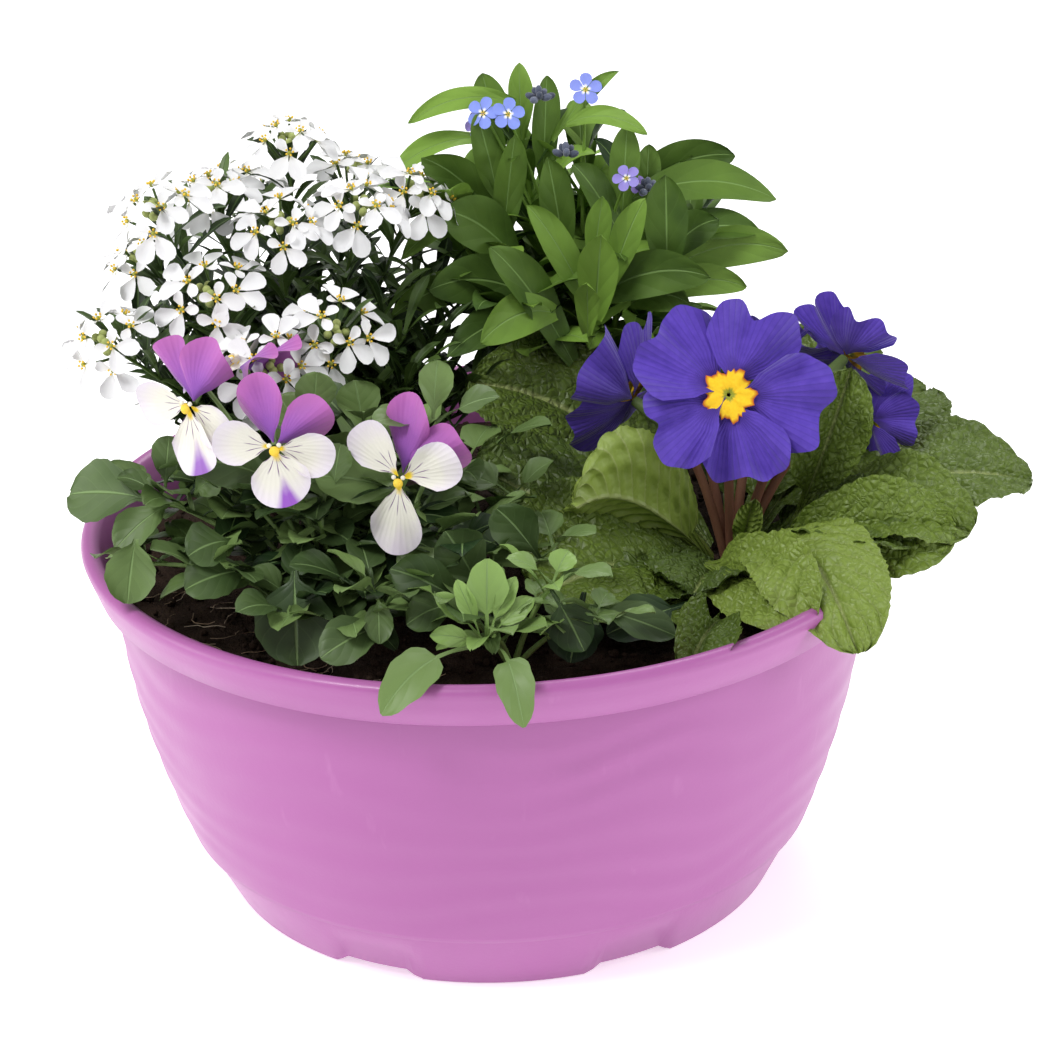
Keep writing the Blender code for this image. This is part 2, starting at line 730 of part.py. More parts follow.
def make_leafy_stem(plant, root, end, arch, thick, draw, count, habit, large=()):
    """A stem with its large leaves, then small ones set round it, each a golden angle on."""
    out = Vector((end.x - root.x, end.y - root.y, 0))
    begin = root + out * 0.04
    bow = add_stem(plant, begin, end, arch, thick, sides=3, steps=4)
    outline, rows = habit["outline"], habit["rows"]
    shape = dict(cup=habit["cup"], teeth=habit["teeth"])
    for t, tip, pull, width in large:
        base = arc_point(begin, end, bow, t)
        clear_blade(plant, base, Vector(tip), Vector(pull), width, outline, rows + 1, start=0.25, **shape)
    turn = draw.uniform(0, math.tau)
    for k in range(count):
        t = habit["start"] + (habit["stop"] - habit["start"]) * k / max(1, count - 1)
        base = arc_point(begin, end, bow, t)
        turn += GOLDEN
        rise = math.radians(habit["pitch"] + 34 * t + draw.uniform(-10, 10))
        size = habit["length"] * draw.uniform(0.8, 1.15) * (1 - 0.18 * abs(t - 0.7))
        away = Vector((math.cos(turn), math.sin(turn), 0))
        tip = base + (away * math.cos(rise) + UP * math.sin(rise)) * size
        roll = draw.uniform(-0.4, 0.4)
        width = habit["width"] * draw.uniform(0.85, 1.1)
        clear_blade(plant, base, tip, size * 0.12, width, outline, rows, roll=roll, **shape)


def make_violet(green, lilac, white, yellow):
    for index, (place, facing, size, turn) in enumerate(VIOLET_BLOOMS, 1):
        make_violet_bloom(index, place, facing, size, turn, lilac, white, yellow)
    draw = random.Random(11)
    root = crown(VIOLET, 2)
    plant = {"pieces": [foot(VIOLET)], "trees": []}
    for place, facing, size, turn in VIOLET_BLOOMS:
        normal = Vector(facing).normalized()
        back = Vector(place) - normal * (PETAL_THICK * 1.5 + 1.4 + 0.7 + GAP)
        bend = back - normal * 7 + UP * 2
        add_stem(plant, root + (bend - root) * 0.04, bend, 10, 2.2, sides=3, steps=4)
        knee = bend - normal * 1.1 + Vector((0.21, 0.07, 0.12))
        add_stem(plant, knee, back, 1, 2.5, steps=1, taper=0.8)
    for end, arch, large in VIOLET_STEMS:
        make_leafy_stem(plant, root, Vector(end), arch, 2.4, draw, 3, VIOLET_HABIT, large)
    bush = fuse("violet_leaves", plant["pieces"], green)
    remember(bush.name, bush)
    plant = {"pieces": [foot(VIOLET_FRONT)], "trees": []}
    root = crown(VIOLET_FRONT, 2)
    for end, arch, large in VIOLET_FRONT_STEMS:
        make_leafy_stem(plant, root, Vector(end), arch, 2.4, draw, 4, VIOLET_FRONT_HABIT, large)
    shoot = fuse("violet_front_shoot", plant["pieces"], green)
    remember(shoot.name, shoot)


# Small flowers gathered in a head round a core, on a stalk.


def make_head(name, place, facing, finish, count, reach, lobes, dome, seed, core=3.2):
    draw = random.Random(seed)
    normal = Vector(facing).normalized()
    heart = Vector(place)
    pieces = [ball(heart, core)]
    right = normal.cross(Vector((0.2, 0.9, 0.3))).normalized()
    above = normal.cross(right)
    for k in range(count):
        turn = math.tau * k / max(1, count - 1) + draw.uniform(-0.15, 0.15)
        lean = math.radians(draw.uniform(54, 66)) if k else math.radians(4)
        size = reach * draw.uniform(0.92, 1.02)
        spin = draw.uniform(0, 2)
        for shift in (0, 0.3, -0.3, 0.6, -0.6):
            round_about = right * math.cos(turn + shift) + above * math.sin(turn + shift)
            out = normal * math.cos(lean) + round_about * math.sin(lean)
            middle = heart + out * dome
            test = floret(heart, middle, out, size + 1, lobes, spin, thick=1 + 2 * GAP)
            free = not crosses(test, placed.values())
            test.free()
            if free:
                pieces.append(floret(heart, middle, out, size, lobes, spin))
                break
    made = fuse(name, pieces, finish)
    remember(made.name, made)
    return heart - normal * (core + GAP)


CANDYTUFT_HEADS = [
    (-98, 8, 216),
    (-60, 46, 224),
    (-62, 14, 208),
    (-112, -16, 184),
    (-82, -6, 194),
    (-46, -14, 184),
    (-22, 40, 208),
    (-38, 22, 210),
    (-64, -26, 178),
    (-84, 34, 212),
    (-106, 40, 190),
    (-78, 72, 202),
    (-42, 74, 204),
]


def make_candytuft(green, white):
    draw = random.Random(7)
    root = crown(CANDYTUFT, 2)
    plant = {"pieces": [foot(CANDYTUFT)], "trees": []}
    ends = []
    for index, spot in enumerate(CANDYTUFT_HEADS, 1):
        heart = Vector(spot)
        facing = (heart - (root + UP * 40)).normalized()
        facing = (facing + UP * 0.5 + Vector((0, -0.25, 0))).normalized()
        ends.append(make_head(f"candytuft_head_{index}", heart, facing, white, 5, 7.4, 4, 12.5, 40 + index))
    for end in ends:
        make_leafy_stem(plant, root, end, 10, 2.2, draw, 3, CANDYTUFT_HABIT)
    bush = fuse("candytuft_leaves", plant["pieces"], green)
    remember(bush.name, bush)


# A stem's end, its arch, how many small leaves, and its large ones as for the violet.
FORGET_STEMS = [
    ((14, 62, 218), 8, 4, [(0.85, (14, 70, 254), (0, 0, 2), 12), (0.9, (-23, 50, 235), (0, 0, 15), 10)]),
    ((34, 66, 220), 4, 4, [(0.9, (60, 62, 242), (4, 0, 2), 9), (0.95, (64, 46, 212), (0, 0, 12), 10)]),
    ((-10, 50, 200), 12, 4, [(0.9, (-32, 44, 219), (0, 0, 15), 13), (0.7, (-30, 40, 186), (0, 0, 12), 14)]),
    ((52, 56, 202), 6, 5, [(0.85, (50, 62, 236), (0, 0, 2), 13)]),
    ((-6, 74, 186), 12, 4, []),
    ((70, 70, 190), 12, 4, [(0.85, (84, 72, 218), (0, 0, 6), 15), (0.8, (100, 66, 200), (0, 0, 8), 16)]),
    ((66, 92, 172), 14, 4, []),
    ((22, 92, 190), 10, 4, []),
    ((6, 34, 172), 14, 4, [(0.8, (-22, 20, 172), (0, 0, 12), 15), (0.95, (6, 18, 196), (0, 4, 4), 14)]),
    ((38, 40, 186), 8, 4, [(0.6, (92, 50, 180), (0, 0, 12), 16)]),
]
# Flower clusters: where, the way they face, how many flowers.
FORGET_CLUSTERS = [
    ((6, 50, 232), (-0.15, -0.85, 0.50), 3),
    ((35, 58, 236), (0.10, -0.85, 0.50), 2),
    ((50, 42, 212), (0.10, -0.70, 0.70), 1),
]
FORGET_BUDS = [((20, 58, 234), 4), ((28, 46, 216), 4)]


def make_forget_me_not(green, blue, bud_dark):
    draw = random.Random(23)
    root = crown(FORGET_ME_NOT, 2)
    plant = {"pieces": [foot(FORGET_ME_NOT)], "trees": []}
    ends = []
    for index, (place, facing, count) in enumerate(FORGET_CLUSTERS, 1):
        name = f"forget_cluster_{index}"
        ends.append(make_head(name, place, facing, blue, count, 5.4, 5, 6.0, 60 + index, core=2.0))
    for index, (place, count) in enumerate(FORGET_BUDS, 1):
        buds = [ball(Vector(place), 2.0)]
        for k in range(count):
            turn = GOLDEN * k
            buds.append(ball(Vector(place) + Vector((2 * math.cos(turn), 2 * math.sin(turn), 1.2)), 1.7, 1.3))
        made = fuse(f"forget_buds_{index}", buds, bud_dark)
        remember(made.name, made)
        ends.append(Vector(place) - UP * (2.0 + GAP))
    for end in ends:
        add_stem(plant, root + (end - root) * 0.04, end, 4, 2.2, sides=3, steps=4)
    for end, arch, count, large in FORGET_STEMS:
        make_leafy_stem(plant, root, Vector(end), arch, 3.0, draw, count, FORGET_HABIT, large)
    bush = fuse("forget_leaves", plant["pieces"], green)
    remember(bush.name, bush)


def main():
    for old in list(bpy.data.objects):
        bpy.data.objects.remove(old)
    pink = material("pink_plastic", (0.72, 0.24, 0.60), 0.42)
    earth = material("potting_soil", (0.035, 0.022, 0.016), 0.95)
    leaf = material("leaf_green", (0.10, 0.20, 0.05), 0.55)
    lilac = material("lilac_petal", (0.55, 0.20, 0.62), 0.6)
    white = material("white_petal", (0.88, 0.88, 0.86), 0.6)
    violet = material("violet_petal", (0.12, 0.07, 0.45), 0.6)
    yellow = material("yellow_eye", (0.90, 0.55, 0.02), 0.6)
    stalk = material("red_stalk", (0.28, 0.12, 0.09), 0.6)
    blue = material("blue_petal", (0.25, 0.32, 0.80), 0.6)
    buds = material("dark_bud", (0.10, 0.11, 0.20), 0.8)
    bowl = make_bowl(pink)
    remember("bowl", bowl)
    soil = make_soil(earth, FEET_IN_SOIL)
    remember("soil", soil)
    make_primrose(leaf, violet, yellow, stalk)
    make_violet(leaf, lilac, white, yellow)
    make_candytuft(leaf, white)
    make_forget_me_not(leaf, blue, buds)


main()
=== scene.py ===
import random
import bmesh
import bpy
from math import atan2, cos, exp, hypot, pi, radians, sin, sqrt, tau
from mathutils import Matrix, Vector, noise


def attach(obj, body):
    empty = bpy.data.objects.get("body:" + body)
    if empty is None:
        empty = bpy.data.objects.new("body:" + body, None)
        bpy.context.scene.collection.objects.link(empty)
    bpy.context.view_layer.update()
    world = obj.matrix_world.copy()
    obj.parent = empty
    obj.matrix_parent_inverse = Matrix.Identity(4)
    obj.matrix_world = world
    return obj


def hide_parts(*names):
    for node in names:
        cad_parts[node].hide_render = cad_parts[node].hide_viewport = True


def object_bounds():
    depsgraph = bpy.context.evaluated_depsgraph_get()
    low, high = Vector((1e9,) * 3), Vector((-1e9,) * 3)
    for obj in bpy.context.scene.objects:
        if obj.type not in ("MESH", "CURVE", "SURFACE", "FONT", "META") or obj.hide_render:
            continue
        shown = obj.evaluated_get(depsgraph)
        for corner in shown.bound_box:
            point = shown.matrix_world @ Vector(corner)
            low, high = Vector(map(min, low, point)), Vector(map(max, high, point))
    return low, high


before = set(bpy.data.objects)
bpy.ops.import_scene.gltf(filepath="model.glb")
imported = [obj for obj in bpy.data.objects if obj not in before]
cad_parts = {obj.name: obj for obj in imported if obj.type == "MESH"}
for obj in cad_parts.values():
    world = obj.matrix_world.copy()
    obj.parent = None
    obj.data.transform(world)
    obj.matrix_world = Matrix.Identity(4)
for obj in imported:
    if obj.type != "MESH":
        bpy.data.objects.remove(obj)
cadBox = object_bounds()
noise.seed_set(3)  # unseeded, the noise vectors would differ on each run

# lengths are in millimetres until a mesh is finished
mm = 0.001
up = Vector((0, 0, 1))
goldenAngle = radians(137.5)
weldGap = 0.015  # closes the seams of tubes and the middles of discs
boxGap = 0.00005  # metres kept free inside the frame's box
leafFacing = Vector((0, -0.8, 0.6))  # shown leaves face this way, a little above the camera
toCamera = Vector((0, -0.916, 0.402))  # from the plants to the camera


# materials

def newMaterial(name, roughness, specular, sheen=0.0, coat=0.0):
    material = bpy.data.materials.new(name)
    material.use_nodes = True
    shader = material.node_tree.nodes["Principled BSDF"]
    shader.inputs["Roughness"].default_value = roughness
    shader.inputs["Specular IOR Level"].default_value = specular
    shader.inputs["Sheen Weight"].default_value = sheen
    shader.inputs["Coat Weight"].default_value = coat
    return material, material.node_tree, shader


def feed(socket, value):  # a socket takes a number, a colour or another node's output
    if isinstance(value, (int, float)):
        socket.default_value = value
    elif isinstance(value, tuple):
        socket.default_value = (*value, 1)
    else:
        socket.id_data.links.new(value, socket)


def nodeBeside(kind, *values):  # a new node in the tree of the first output among the values
    tree = next(value.id_data for value in values if isinstance(value, bpy.types.NodeSocket))
    return tree.nodes.new(kind)


def maths(operation, *values):
    made = nodeBeside("ShaderNodeMath", *values)
    made.operation = operation
    for socket, value in zip(made.inputs, values):
        feed(socket, value)
    return made.outputs[0]


def plus(first, second):
    return maths("ADD", first, second)


def minus(first, second):
    return maths("SUBTRACT", first, second)


def times(first, second):
    return maths("MULTIPLY", first, second)


def ridges(place, count):  # rounded ridges with sharp grooves between them
    return maths("ABSOLUTE", maths("SINE", times(place, count)))


def rangeOf(value, low, high, start=0.0, end=1.0):
    made = nodeBeside("ShaderNodeMapRange", value)
    for socket, number in zip(made.inputs, (value, low, high, start, end)):
        feed(socket, number)
    return made.outputs["Result"]


def blendColour(factor, first, second):
    made = nodeBeside("ShaderNodeMix", factor, first, second)
    made.data_type = "RGBA"
    for place, value in ((0, factor), (6, first), (7, second)):  # where a colour mix has its sockets
        feed(made.inputs[place], value)
    return made.outputs[2]


def objectPlace(tree):
    return tree.nodes.new("ShaderNodeTexCoord").outputs["Object"]


def uvPlace(tree):
    split = tree.nodes.new("ShaderNodeSeparateXYZ")
    tree.links.new(tree.nodes.new("ShaderNodeUVMap").outputs[0], split.inputs[0])
    return split.outputs[0], split.outputs[1]


def toneOf(tree):  # the tone that each leaf, petal and ball of a piece was given
    made = tree.nodes.new("ShaderNodeAttribute")
    made.attribute_name = "tone"
    return made.outputs["Fac"]


def noiseOf(tree, scale, detail, stretch=None):
    made = tree.nodes.new("ShaderNodeTexNoise")
    feed(made.inputs["Scale"], scale)
    feed(made.inputs["Detail"], detail)
    place = objectPlace(tree)
    if stretch:
        mapping = tree.nodes.new("ShaderNodeMapping")
        mapping.inputs["Scale"].default_value = stretch
        tree.links.new(place, mapping.inputs["Vector"])
        place = mapping.outputs[0]
    tree.links.new(place, made.inputs["Vector"])
    return made.outputs["Fac"]


def cellEdges(tree, scale):
    made = tree.nodes.new("ShaderNodeTexVoronoi")
    made.feature = "DISTANCE_TO_EDGE"
    feed(made.inputs["Scale"], scale)
    tree.links.new(objectPlace(tree), made.inputs["Vector"])
    return made.outputs["Distance"]


def paint(shader, colour, height, strength, distance):  # the distance is in metres
    feed(shader.inputs["Base Color"], colour)
    made = nodeBeside("ShaderNodeBump", height)
    feed(made.inputs["Strength"], strength)
    feed(made.inputs["Distance"], distance)
    feed(made.inputs["Height"], height)
    feed(shader.inputs["Normal"], made.outputs[0])


# what every plant's leaves share, where its own look says nothing else
leafLook = dict(
    ribWidth=0.03,
    ribStrength=0.85,
    veinWidth=0.22,
    veinGain=0.1,
    youngVeins=0.1,
    veinDepth=0.2,
    toneShare=0.95,  # how much the leaf's own tone counts in its shade, and then the patches on it
    patchShare=0.5,
    patchScale=60,
    shade=(0.32, 1.12),
    youngTone=(1.0, 1.5),  # a tone above 1 is a young leaf or an underside
    net=0,  # cells in a metre, where the leaf has a fine net
    pillow=(0.0, 0.34, 0, 1.1),  # from and to, as distances from a cell's edge, and the strengths there
    # painted shade: how dark the sunken lines of the net are painted, by distance from a cell's edge
    paintedGrooveShade=(0.09, 0.0, 0, 0.32),
    roughness=0.45,
    specular=0.4,
    bump=0.4,
)


def leafMaterial(name, ownLook):
    look = {**leafLook, **ownLook}
    material, tree, shader = newMaterial(name, look["roughness"], look["specular"])
    across, along = uvPlace(tree)
    fromRib = maths("ABSOLUTE", minus(across, 0.5))
    ribLine = rangeOf(fromRib, look["ribWidth"], look["ribWidth"] * 0.3)
    slanted = times(fromRib, look["slant"])
    ripple = ridges(minus(times(along, look["veins"]), slanted), pi)
    veinLine = rangeOf(ripple, look["veinWidth"], 0.0)
    tone = toneOf(tree)
    patches = times(noiseOf(tree, look["patchScale"], 4), look["patchShare"])
    shade = plus(times(tone, look["toneShare"]), patches)
    green = blendColour(rangeOf(shade, *look["shade"]), look["dark"], look["light"])
    young = rangeOf(tone, *look["youngTone"])
    green = blendColour(young, green, look["young"])
    gain = rangeOf(tone, *look["youngTone"], look["veinGain"], look["youngVeins"])
    green = blendColour(times(veinLine, gain), green, look["rib"])
    green = blendColour(times(ribLine, look["ribStrength"]), green, look["rib"])
    height = minus(times(ripple, look["veinDepth"]), ribLine)
    if look["net"]:  # the fine net between the veins, on the upper side only, with painted shade in its sunken lines
        net = cellEdges(tree, look["net"])
        upper = minus(1.0, young)
        height = plus(height, times(rangeOf(net, *look["pillow"]), upper))
        # painted shade: the net's sunken lines take the leaf's dark green, as if shade fell in them
        paintedGrooveShade = times(rangeOf(net, *look["paintedGrooveShade"]), upper)
        green = blendColour(paintedGrooveShade, green, look["dark"])
    paint(shader, green, height, look["bump"], 0.0012)
    return material


# meshes

def newMesh():
    bm = bmesh.new()
    bm.loops.layers.uv.new("UVMap")
    bm.verts.layers.float.new("tone")
    return bm


def addObject(name, content):
    made = bpy.data.objects.new(name, content)
    bpy.context.scene.collection.objects.link(made)
    return made


def finishPiece(name, bm, material, slot, *replaced):
    bmesh.ops.remove_doubles(bm, verts=bm.verts, dist=weldGap)
    bmesh.ops.scale(bm, vec=(mm, mm, mm), verts=bm.verts)
    for vert in bm.verts:  # a leaf edge never passes the frame's box
        for axis in range(3):
            low, high = cadBox[0][axis] + boxGap, cadBox[1][axis] - boxGap
            vert.co[axis] = min(max(vert.co[axis], low), high)
    mesh = bpy.data.meshes.new(name)
    bm.to_mesh(mesh)
    bm.free()
    for polygon in mesh.polygons:
        polygon.use_smooth = True
    mesh.materials.append(material)
    piece = addObject(name, mesh)
    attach(piece, "root")
    if replaced:
        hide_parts(*replaced)


def around(first, second, angle):  # a turn from the first direction towards the second
    return first * cos(angle) + second * sin(angle)


def arcPoint(base, tip, bow, t):
    middle = (base + tip) / 2 + bow
    return base * (1 - t) ** 2 + middle * 2 * t * (1 - t) + tip * t * t


def arcDirection(base, tip, bow, t):
    middle = (base + tip) / 2 + bow
    return ((middle - base) * (1 - t) + (tip - middle) * t).normalized()


patterns = {}  # plain meshes that leaves, petals, tubes and balls are copied from


def addPattern(bm, pattern, points, tone):  # copies a pattern into the piece with its points moved
    pattern.vertices.foreach_set("co", [part for point in points for part in point])
    pattern.attributes["tone"].data.foreach_set("value", [tone] * len(points))
    bm.from_mesh(pattern, face_normals=False, vertex_normals=False)


def gridPattern(wide, last):
    if (wide, last) not in patterns:
        bm = newMesh()
        bmesh.ops.create_grid(bm, x_segments=wide, y_segments=last, size=0.5, calc_uvs=True)
        patterns[wide, last] = bpy.data.meshes.new("pattern")
        bm.to_mesh(patterns[wide, last])
        bm.free()
    return patterns[wide, last]


def fillGrid(bm, rows, tone):  # u runs across each row and v from the first row to the last
    pattern = gridPattern(len(rows[0]) - 1, len(rows) - 1)
    addPattern(bm, pattern, [point for row in rows for point in row], tone)


# a leaf runs from base to tip; cup lifts its edges, roll turns it about its rib, curl drops its tip, and
# wave, teeth and quilt are the heights of its ripples, of the notches in its edge and of its pillows
def addLeaf(bm, base, tip, bow, width, outline, rows, across, tone, cup=0.2, roll=0.0, wave=0.0, waves=2.2,
            teeth=0.0, toothCount=10, curl=0.0, quilt=0.0, quiltVeins=9.0, phase=0.0, side=None):
    flat = Vector((tip.x - base.x, tip.y - base.y, 0))
    if flat.length < 2:
        flat = Vector((1, 0, 0))
    level = side or Vector((flat.y, -flat.x, 0)).normalized()
    grid = []
    for i in range(rows + 1):
        t = i / rows
        centre = arcPoint(base, tip, bow, t) - up * curl * t ** 3
        along = arcDirection(base, tip, bow, t)
        face = level.cross(along).normalized()
        sideways, normal = around(level, face, roll), around(face, -level, roll)
        half = width / 2 * outline(t)
        row = []
        for k in range(across + 1):
            u = 2 * k / across - 1
            edge = abs(u)
            tooth = 1 - teeth * edge ** 6 * (0.5 + 0.5 * cos(tau * toothCount * t))
            out = half * u * tooth
            lift = cup * half * edge ** 1.6
            lift += wave * edge ** 2 * sin(tau * waves * t + 2.5 * u + phase)
            if quilt:
                line = quiltVeins * t - 2.6 * edge
                pillow = abs(sin(pi * line)) ** 0.6 * min(1, 3.5 * edge)
                pillow *= 0.75 + 0.25 * cos(tau * 3.2 * edge)
                lift += quilt * (pillow - 0.9 * exp(-(edge / 0.07) ** 2)) * min(1, 6 * outline(t) * t)
            row.append(centre + sideways * out * cos(cup * u) + normal * lift)
        grid.append(row)
    fillGrid(bm, grid, tone)


def addShownLeaf(bm, base, tip, bow, width, outline, rows, across, tone, **shape):
    level = (tip - base).cross(leafFacing).normalized()
    addLeaf(bm, base, tip, bow, width, outline, rows, across, tone, side=level, **shape)


def addShownLeaves(bm, leaves, arch, outline, rows, draw, **shape):
    for base, tip, width, tone in leaves:
        addShownLeaf(bm, Vector(base), Vector(tip), up * arch, width, outline, rows, 8, tone,
                     roll=draw.uniform(-0.3, 0.3), phase=draw.uniform(0, 6), **shape)


def hidesBloom(point, blooms):  # whether a leaf here would stand before a flower
    for place, radius in blooms:
        offset = point - place
        depth = offset.dot(toCamera)
        if depth > -3 and (offset - toCamera * depth).length < radius:
            return True
    return False


def addTube(bm, points, radii, sides, tone):
    turns = [tau * k / sides for k in range(sides + 1)]
    rows = []
    for i, point in enumerate(points):
        along = (points[min(i + 1, len(points) - 1)] - points[max(i - 1, 0)]).normalized()
        sideways = along.cross(Vector((0.31, 0.95, 0.05))).normalized()
        front = along.cross(sideways)
        rows.append([point + around(sideways, front, turn) * radii[i] for turn in turns])
    fillGrid(bm, rows, tone)


def addStem(bm, base, tip, bow, thick, taper, steps, sides, tone):
    points = [arcPoint(base, tip, bow, i / steps) for i in range(steps + 1)]
    radii = [thick / 2 * (1 - (1 - taper) * i / steps) for i in range(steps + 1)]
    addTube(bm, points, radii, sides, tone)


def ballPattern(fine):
    if fine not in patterns:
        bm = newMesh()
        bmesh.ops.create_icosphere(bm, subdivisions=fine, radius=1)
        patterns[fine] = bpy.data.meshes.new("pattern")
        bm.to_mesh(patterns[fine])
        patterns[fine, "points"] = [vert.co.copy() for vert in bm.verts]
        bm.free()
    return patterns[fine], patterns[fine, "points"]


def addBall(bm, centre, radius, along, stretch, tone, fine=1):
    turned = up.rotation_difference(along).to_matrix().to_4x4()
    place = Matrix.Translation(centre) @ turned @ Matrix.Diagonal((radius, radius, radius * stretch, 1))
    pattern, points = ballPattern(fine)
    addPattern(bm, pattern, [place @ point for point in points], tone)


def flowerAxes(normal):
    right = normal.cross(up).normalized() * -1
    return right, right.cross(normal) * -1


def addPetal(bm, centre, normal, spin, spread, reach, outline, rows, across, tone, start=0.05, cup=0.0,
             lift=0.0, tilt=0.0, ruffle=0.0, ruffles=5.0, droop=0.0, axes=None):
    right, above = axes or flowerAxes(normal)
    grid = []
    for i in range(rows + 1):
        t = start + (1 - start) * i / rows
        row = []
        for k in range(across + 1):
            u = 2 * k / across - 1
            narrow = min(1, 0.3 + 1.4 * t)
            angle = spin + u * spread * narrow
            radius = reach * outline(u) * t
            rise = cup * t * t * reach + tilt * u * t * reach + droop * u * u * t * reach
            rise += ruffle * t ** 2.5 * sin(ruffles * u + spin * 3) * reach / 25
            row.append(centre + around(right, above, angle) * radius + normal * (rise + lift))
        grid.append(row)
    fillGrid(bm, grid, tone)


# outlines of leaves: half width as a share of the widest, from stalk to tip

def spoonOutline(t):
    if t < 0.36:
        return 0.09 + 0.05 * t
    return 0.1 + 0.9 * sin(pi * min(1, (t - 0.34) / 0.66) ** 0.85) ** 0.6


def paddleOutline(t):
    if t < 0.16:
        return 0.1 + 0.3 * t
    return 0.13 + 0.87 * sin(pi * min(1, (t - 0.14) / 0.86) ** 1.2) ** 0.6


def oblongOutline(t):
    return max(0.03, 0.16 * (1 - t) + 0.9 * max(0, sin(pi * (0.04 + 0.96 * t) ** 1.25)) ** 0.62)


def needleOutline(t):
    return 0.25 + 0.75 * sin(pi * min(1, t) ** 1.5) if t < 1 else 0.05


# the bowl

soilTop = 104.0
bowlShape = dict(
    height=121.0,
    rimRadius=129.8,
    lipHeight=107.3,
    ledgeHeight=21.0,
    footRadius=90.8,
    footLift=3.4,
    padRadius=14.0,
    wallStart=16,
    wallRise=90,
    wallFoot=100.4,
    wallFlare=19.8,
    wallThick=2,
    wallBands=46,
    floorTop=6.4,
    steps=224,
    feet=7,
    notchHalf=radians(8.6),
    waveDepth=0.34,
    waveCount=7.5,
    pinks=((0.375, 0.106, 0.325), (0.42, 0.124, 0.365)),
    scuff=(0.56, 0.24, 0.5),
)


def wallRadius(height):
    rise = max(0.0, min(1.0, (height - bowlShape["wallStart"]) / bowlShape["wallRise"]))
    return bowlShape["wallFoot"] + bowlShape["wallFlare"] * (1 - (1 - rise) ** 1.76)


def wallRelief(angle, height):  # long low waves that run round the wall, like wind on sand
    spot = Vector((cos(angle), sin(angle), 0))
    bend = 2.6 * noise.noise(spot * 2.2 + up * height / 60)
    ridge = sin(height / bowlShape["wallRise"] * tau * bowlShape["waveCount"] + bend * 2.2)
    patch = 0.5 + 0.5 * noise.noise(spot * 3.4 + up * (height / 26 + 7))
    fade = min(1, max(0, (height - 24) / 10)) * min(1, max(0, (soilTop - height) / 10))
    return bowlShape["waveDepth"] * ridge * patch * fade


def bowlProfile():  # from the pad's middle out, up the wall, over the rim and down inside
    pad, foot, lift = bowlShape["padRadius"], bowlShape["footRadius"], bowlShape["footLift"]
    ledge, lip = bowlShape["ledgeHeight"], bowlShape["lipHeight"]
    rim, top, floor = bowlShape["rimRadius"], bowlShape["height"], bowlShape["floorTop"]
    thick, bands = bowlShape["wallThick"], bowlShape["wallBands"]
    profile = [(0, 0), (pad, 0), (pad + 1, 1.4), (pad + 2, lift)]
    profile += [(foot - 6, lift), (foot - 5, 0), (foot - 0.8, 0), (foot, 0.8)]
    profile += [(wallRadius(ledge) - 1.9, ledge - 0.8), (wallRadius(ledge) - 1.5, ledge)]
    wall = [ledge + 0.8 + k * (lip - ledge - 1.6) / bands for k in range(bands + 1)]
    profile += [(wallRadius(z), z) for z in wall]
    profile += [(wallRadius(106.6), 108.0), (122.2, 111.6), (124.4, 112.0), (124.6, lip + 0.6)]
    profile += [(125.2, lip), (126.0, lip + 0.5)]
    profile += [(rim - 1.4, 114.4), (rim - 0.5, 117.0), (rim, 118.6), (rim - 0.5, 120.0)]
    profile += [(rim - 1.9, top), (126.2, top), (124.6, 120.2), (123.6, 118.6)]
    profile += [(120.6, 113.5)] + [(wallRadius(z) - thick, z) for z in (104, 76, 44)]
    profile += [(95, floor + 5), (90, floor), (0, floor)]
    return profile


def notchLift(angle):  # how far a notch raises the foot ring at this angle
    share = 0.0
    for foot in range(bowlShape["feet"]):
        middle = tau * (foot + 0.5) / bowlShape["feet"] - pi / 2
        away = abs((angle - middle + pi) % tau - pi)
        share = max(share, min(1, (bowlShape["notchHalf"] - away) / 0.02))
    return bowlShape["footLift"] * share


def buildBowl():
    bm = newMesh()
    profile = [bm.verts.new((radius, 0, height)) for radius, height in bowlProfile()]
    edges = [bm.edges.new(pair) for pair in zip(profile, profile[1:])]
    bmesh.ops.spin(bm, geom=profile + edges, axis=up, angle=tau, steps=bowlShape["steps"], use_merge=True)
    bmesh.ops.remove_doubles(bm, verts=bm.verts, dist=0.001)
    ledge, lip = bowlShape["ledgeHeight"], bowlShape["lipHeight"]
    footRadius = bowlShape["footRadius"]
    for vert in bm.verts:
        radius = hypot(vert.co.x, vert.co.y)
        height = vert.co.z
        angle = atan2(vert.co.y, vert.co.x)
        if ledge < height < lip and radius > wallRadius(height) - 1:  # the wall's outside
            out = 1 + wallRelief(angle, height) / radius
            vert.co.x *= out
            vert.co.y *= out
        if height < 1 and footRadius - 5.5 < radius < footRadius + 0.5:
            vert.co.z = max(height, notchLift(angle))
    bmesh.ops.recalc_face_normals(bm, faces=bm.faces)
    material, tree, shader = newMaterial("bowlPlastic", 0.36, 0.45, coat=0.06)
    cloud = noiseOf(tree, 9, 3)
    pink = blendColour(cloud, *bowlShape["pinks"])
    scuff = rangeOf(noiseOf(tree, 160, 6, (1, 1, 0.25)), 0.66, 0.8, 0, 0.22)
    pink = blendColour(scuff, pink, bowlShape["scuff"])
    feed(shader.inputs["Roughness"], rangeOf(noiseOf(tree, 40, 4), 0.3, 0.7, 0.32, 0.44))
    paint(shader, pink, noiseOf(tree, 700, 3), 0.12, 0.0004)
    finishPiece("bowlSkin", bm, material, "pink_plastic", "bowl")


# the soil

soilShape = dict(
    rings=60, steps=160,
    lumpWidth=9, lumpHeight=2.6,
    crumbs=1500, crumbSize=(0.6, 2.2),
    browns=((0.01, 0.006, 0.005), (0.06, 0.036, 0.024)),
    dryBrown=(0.075, 0.048, 0.032),
)


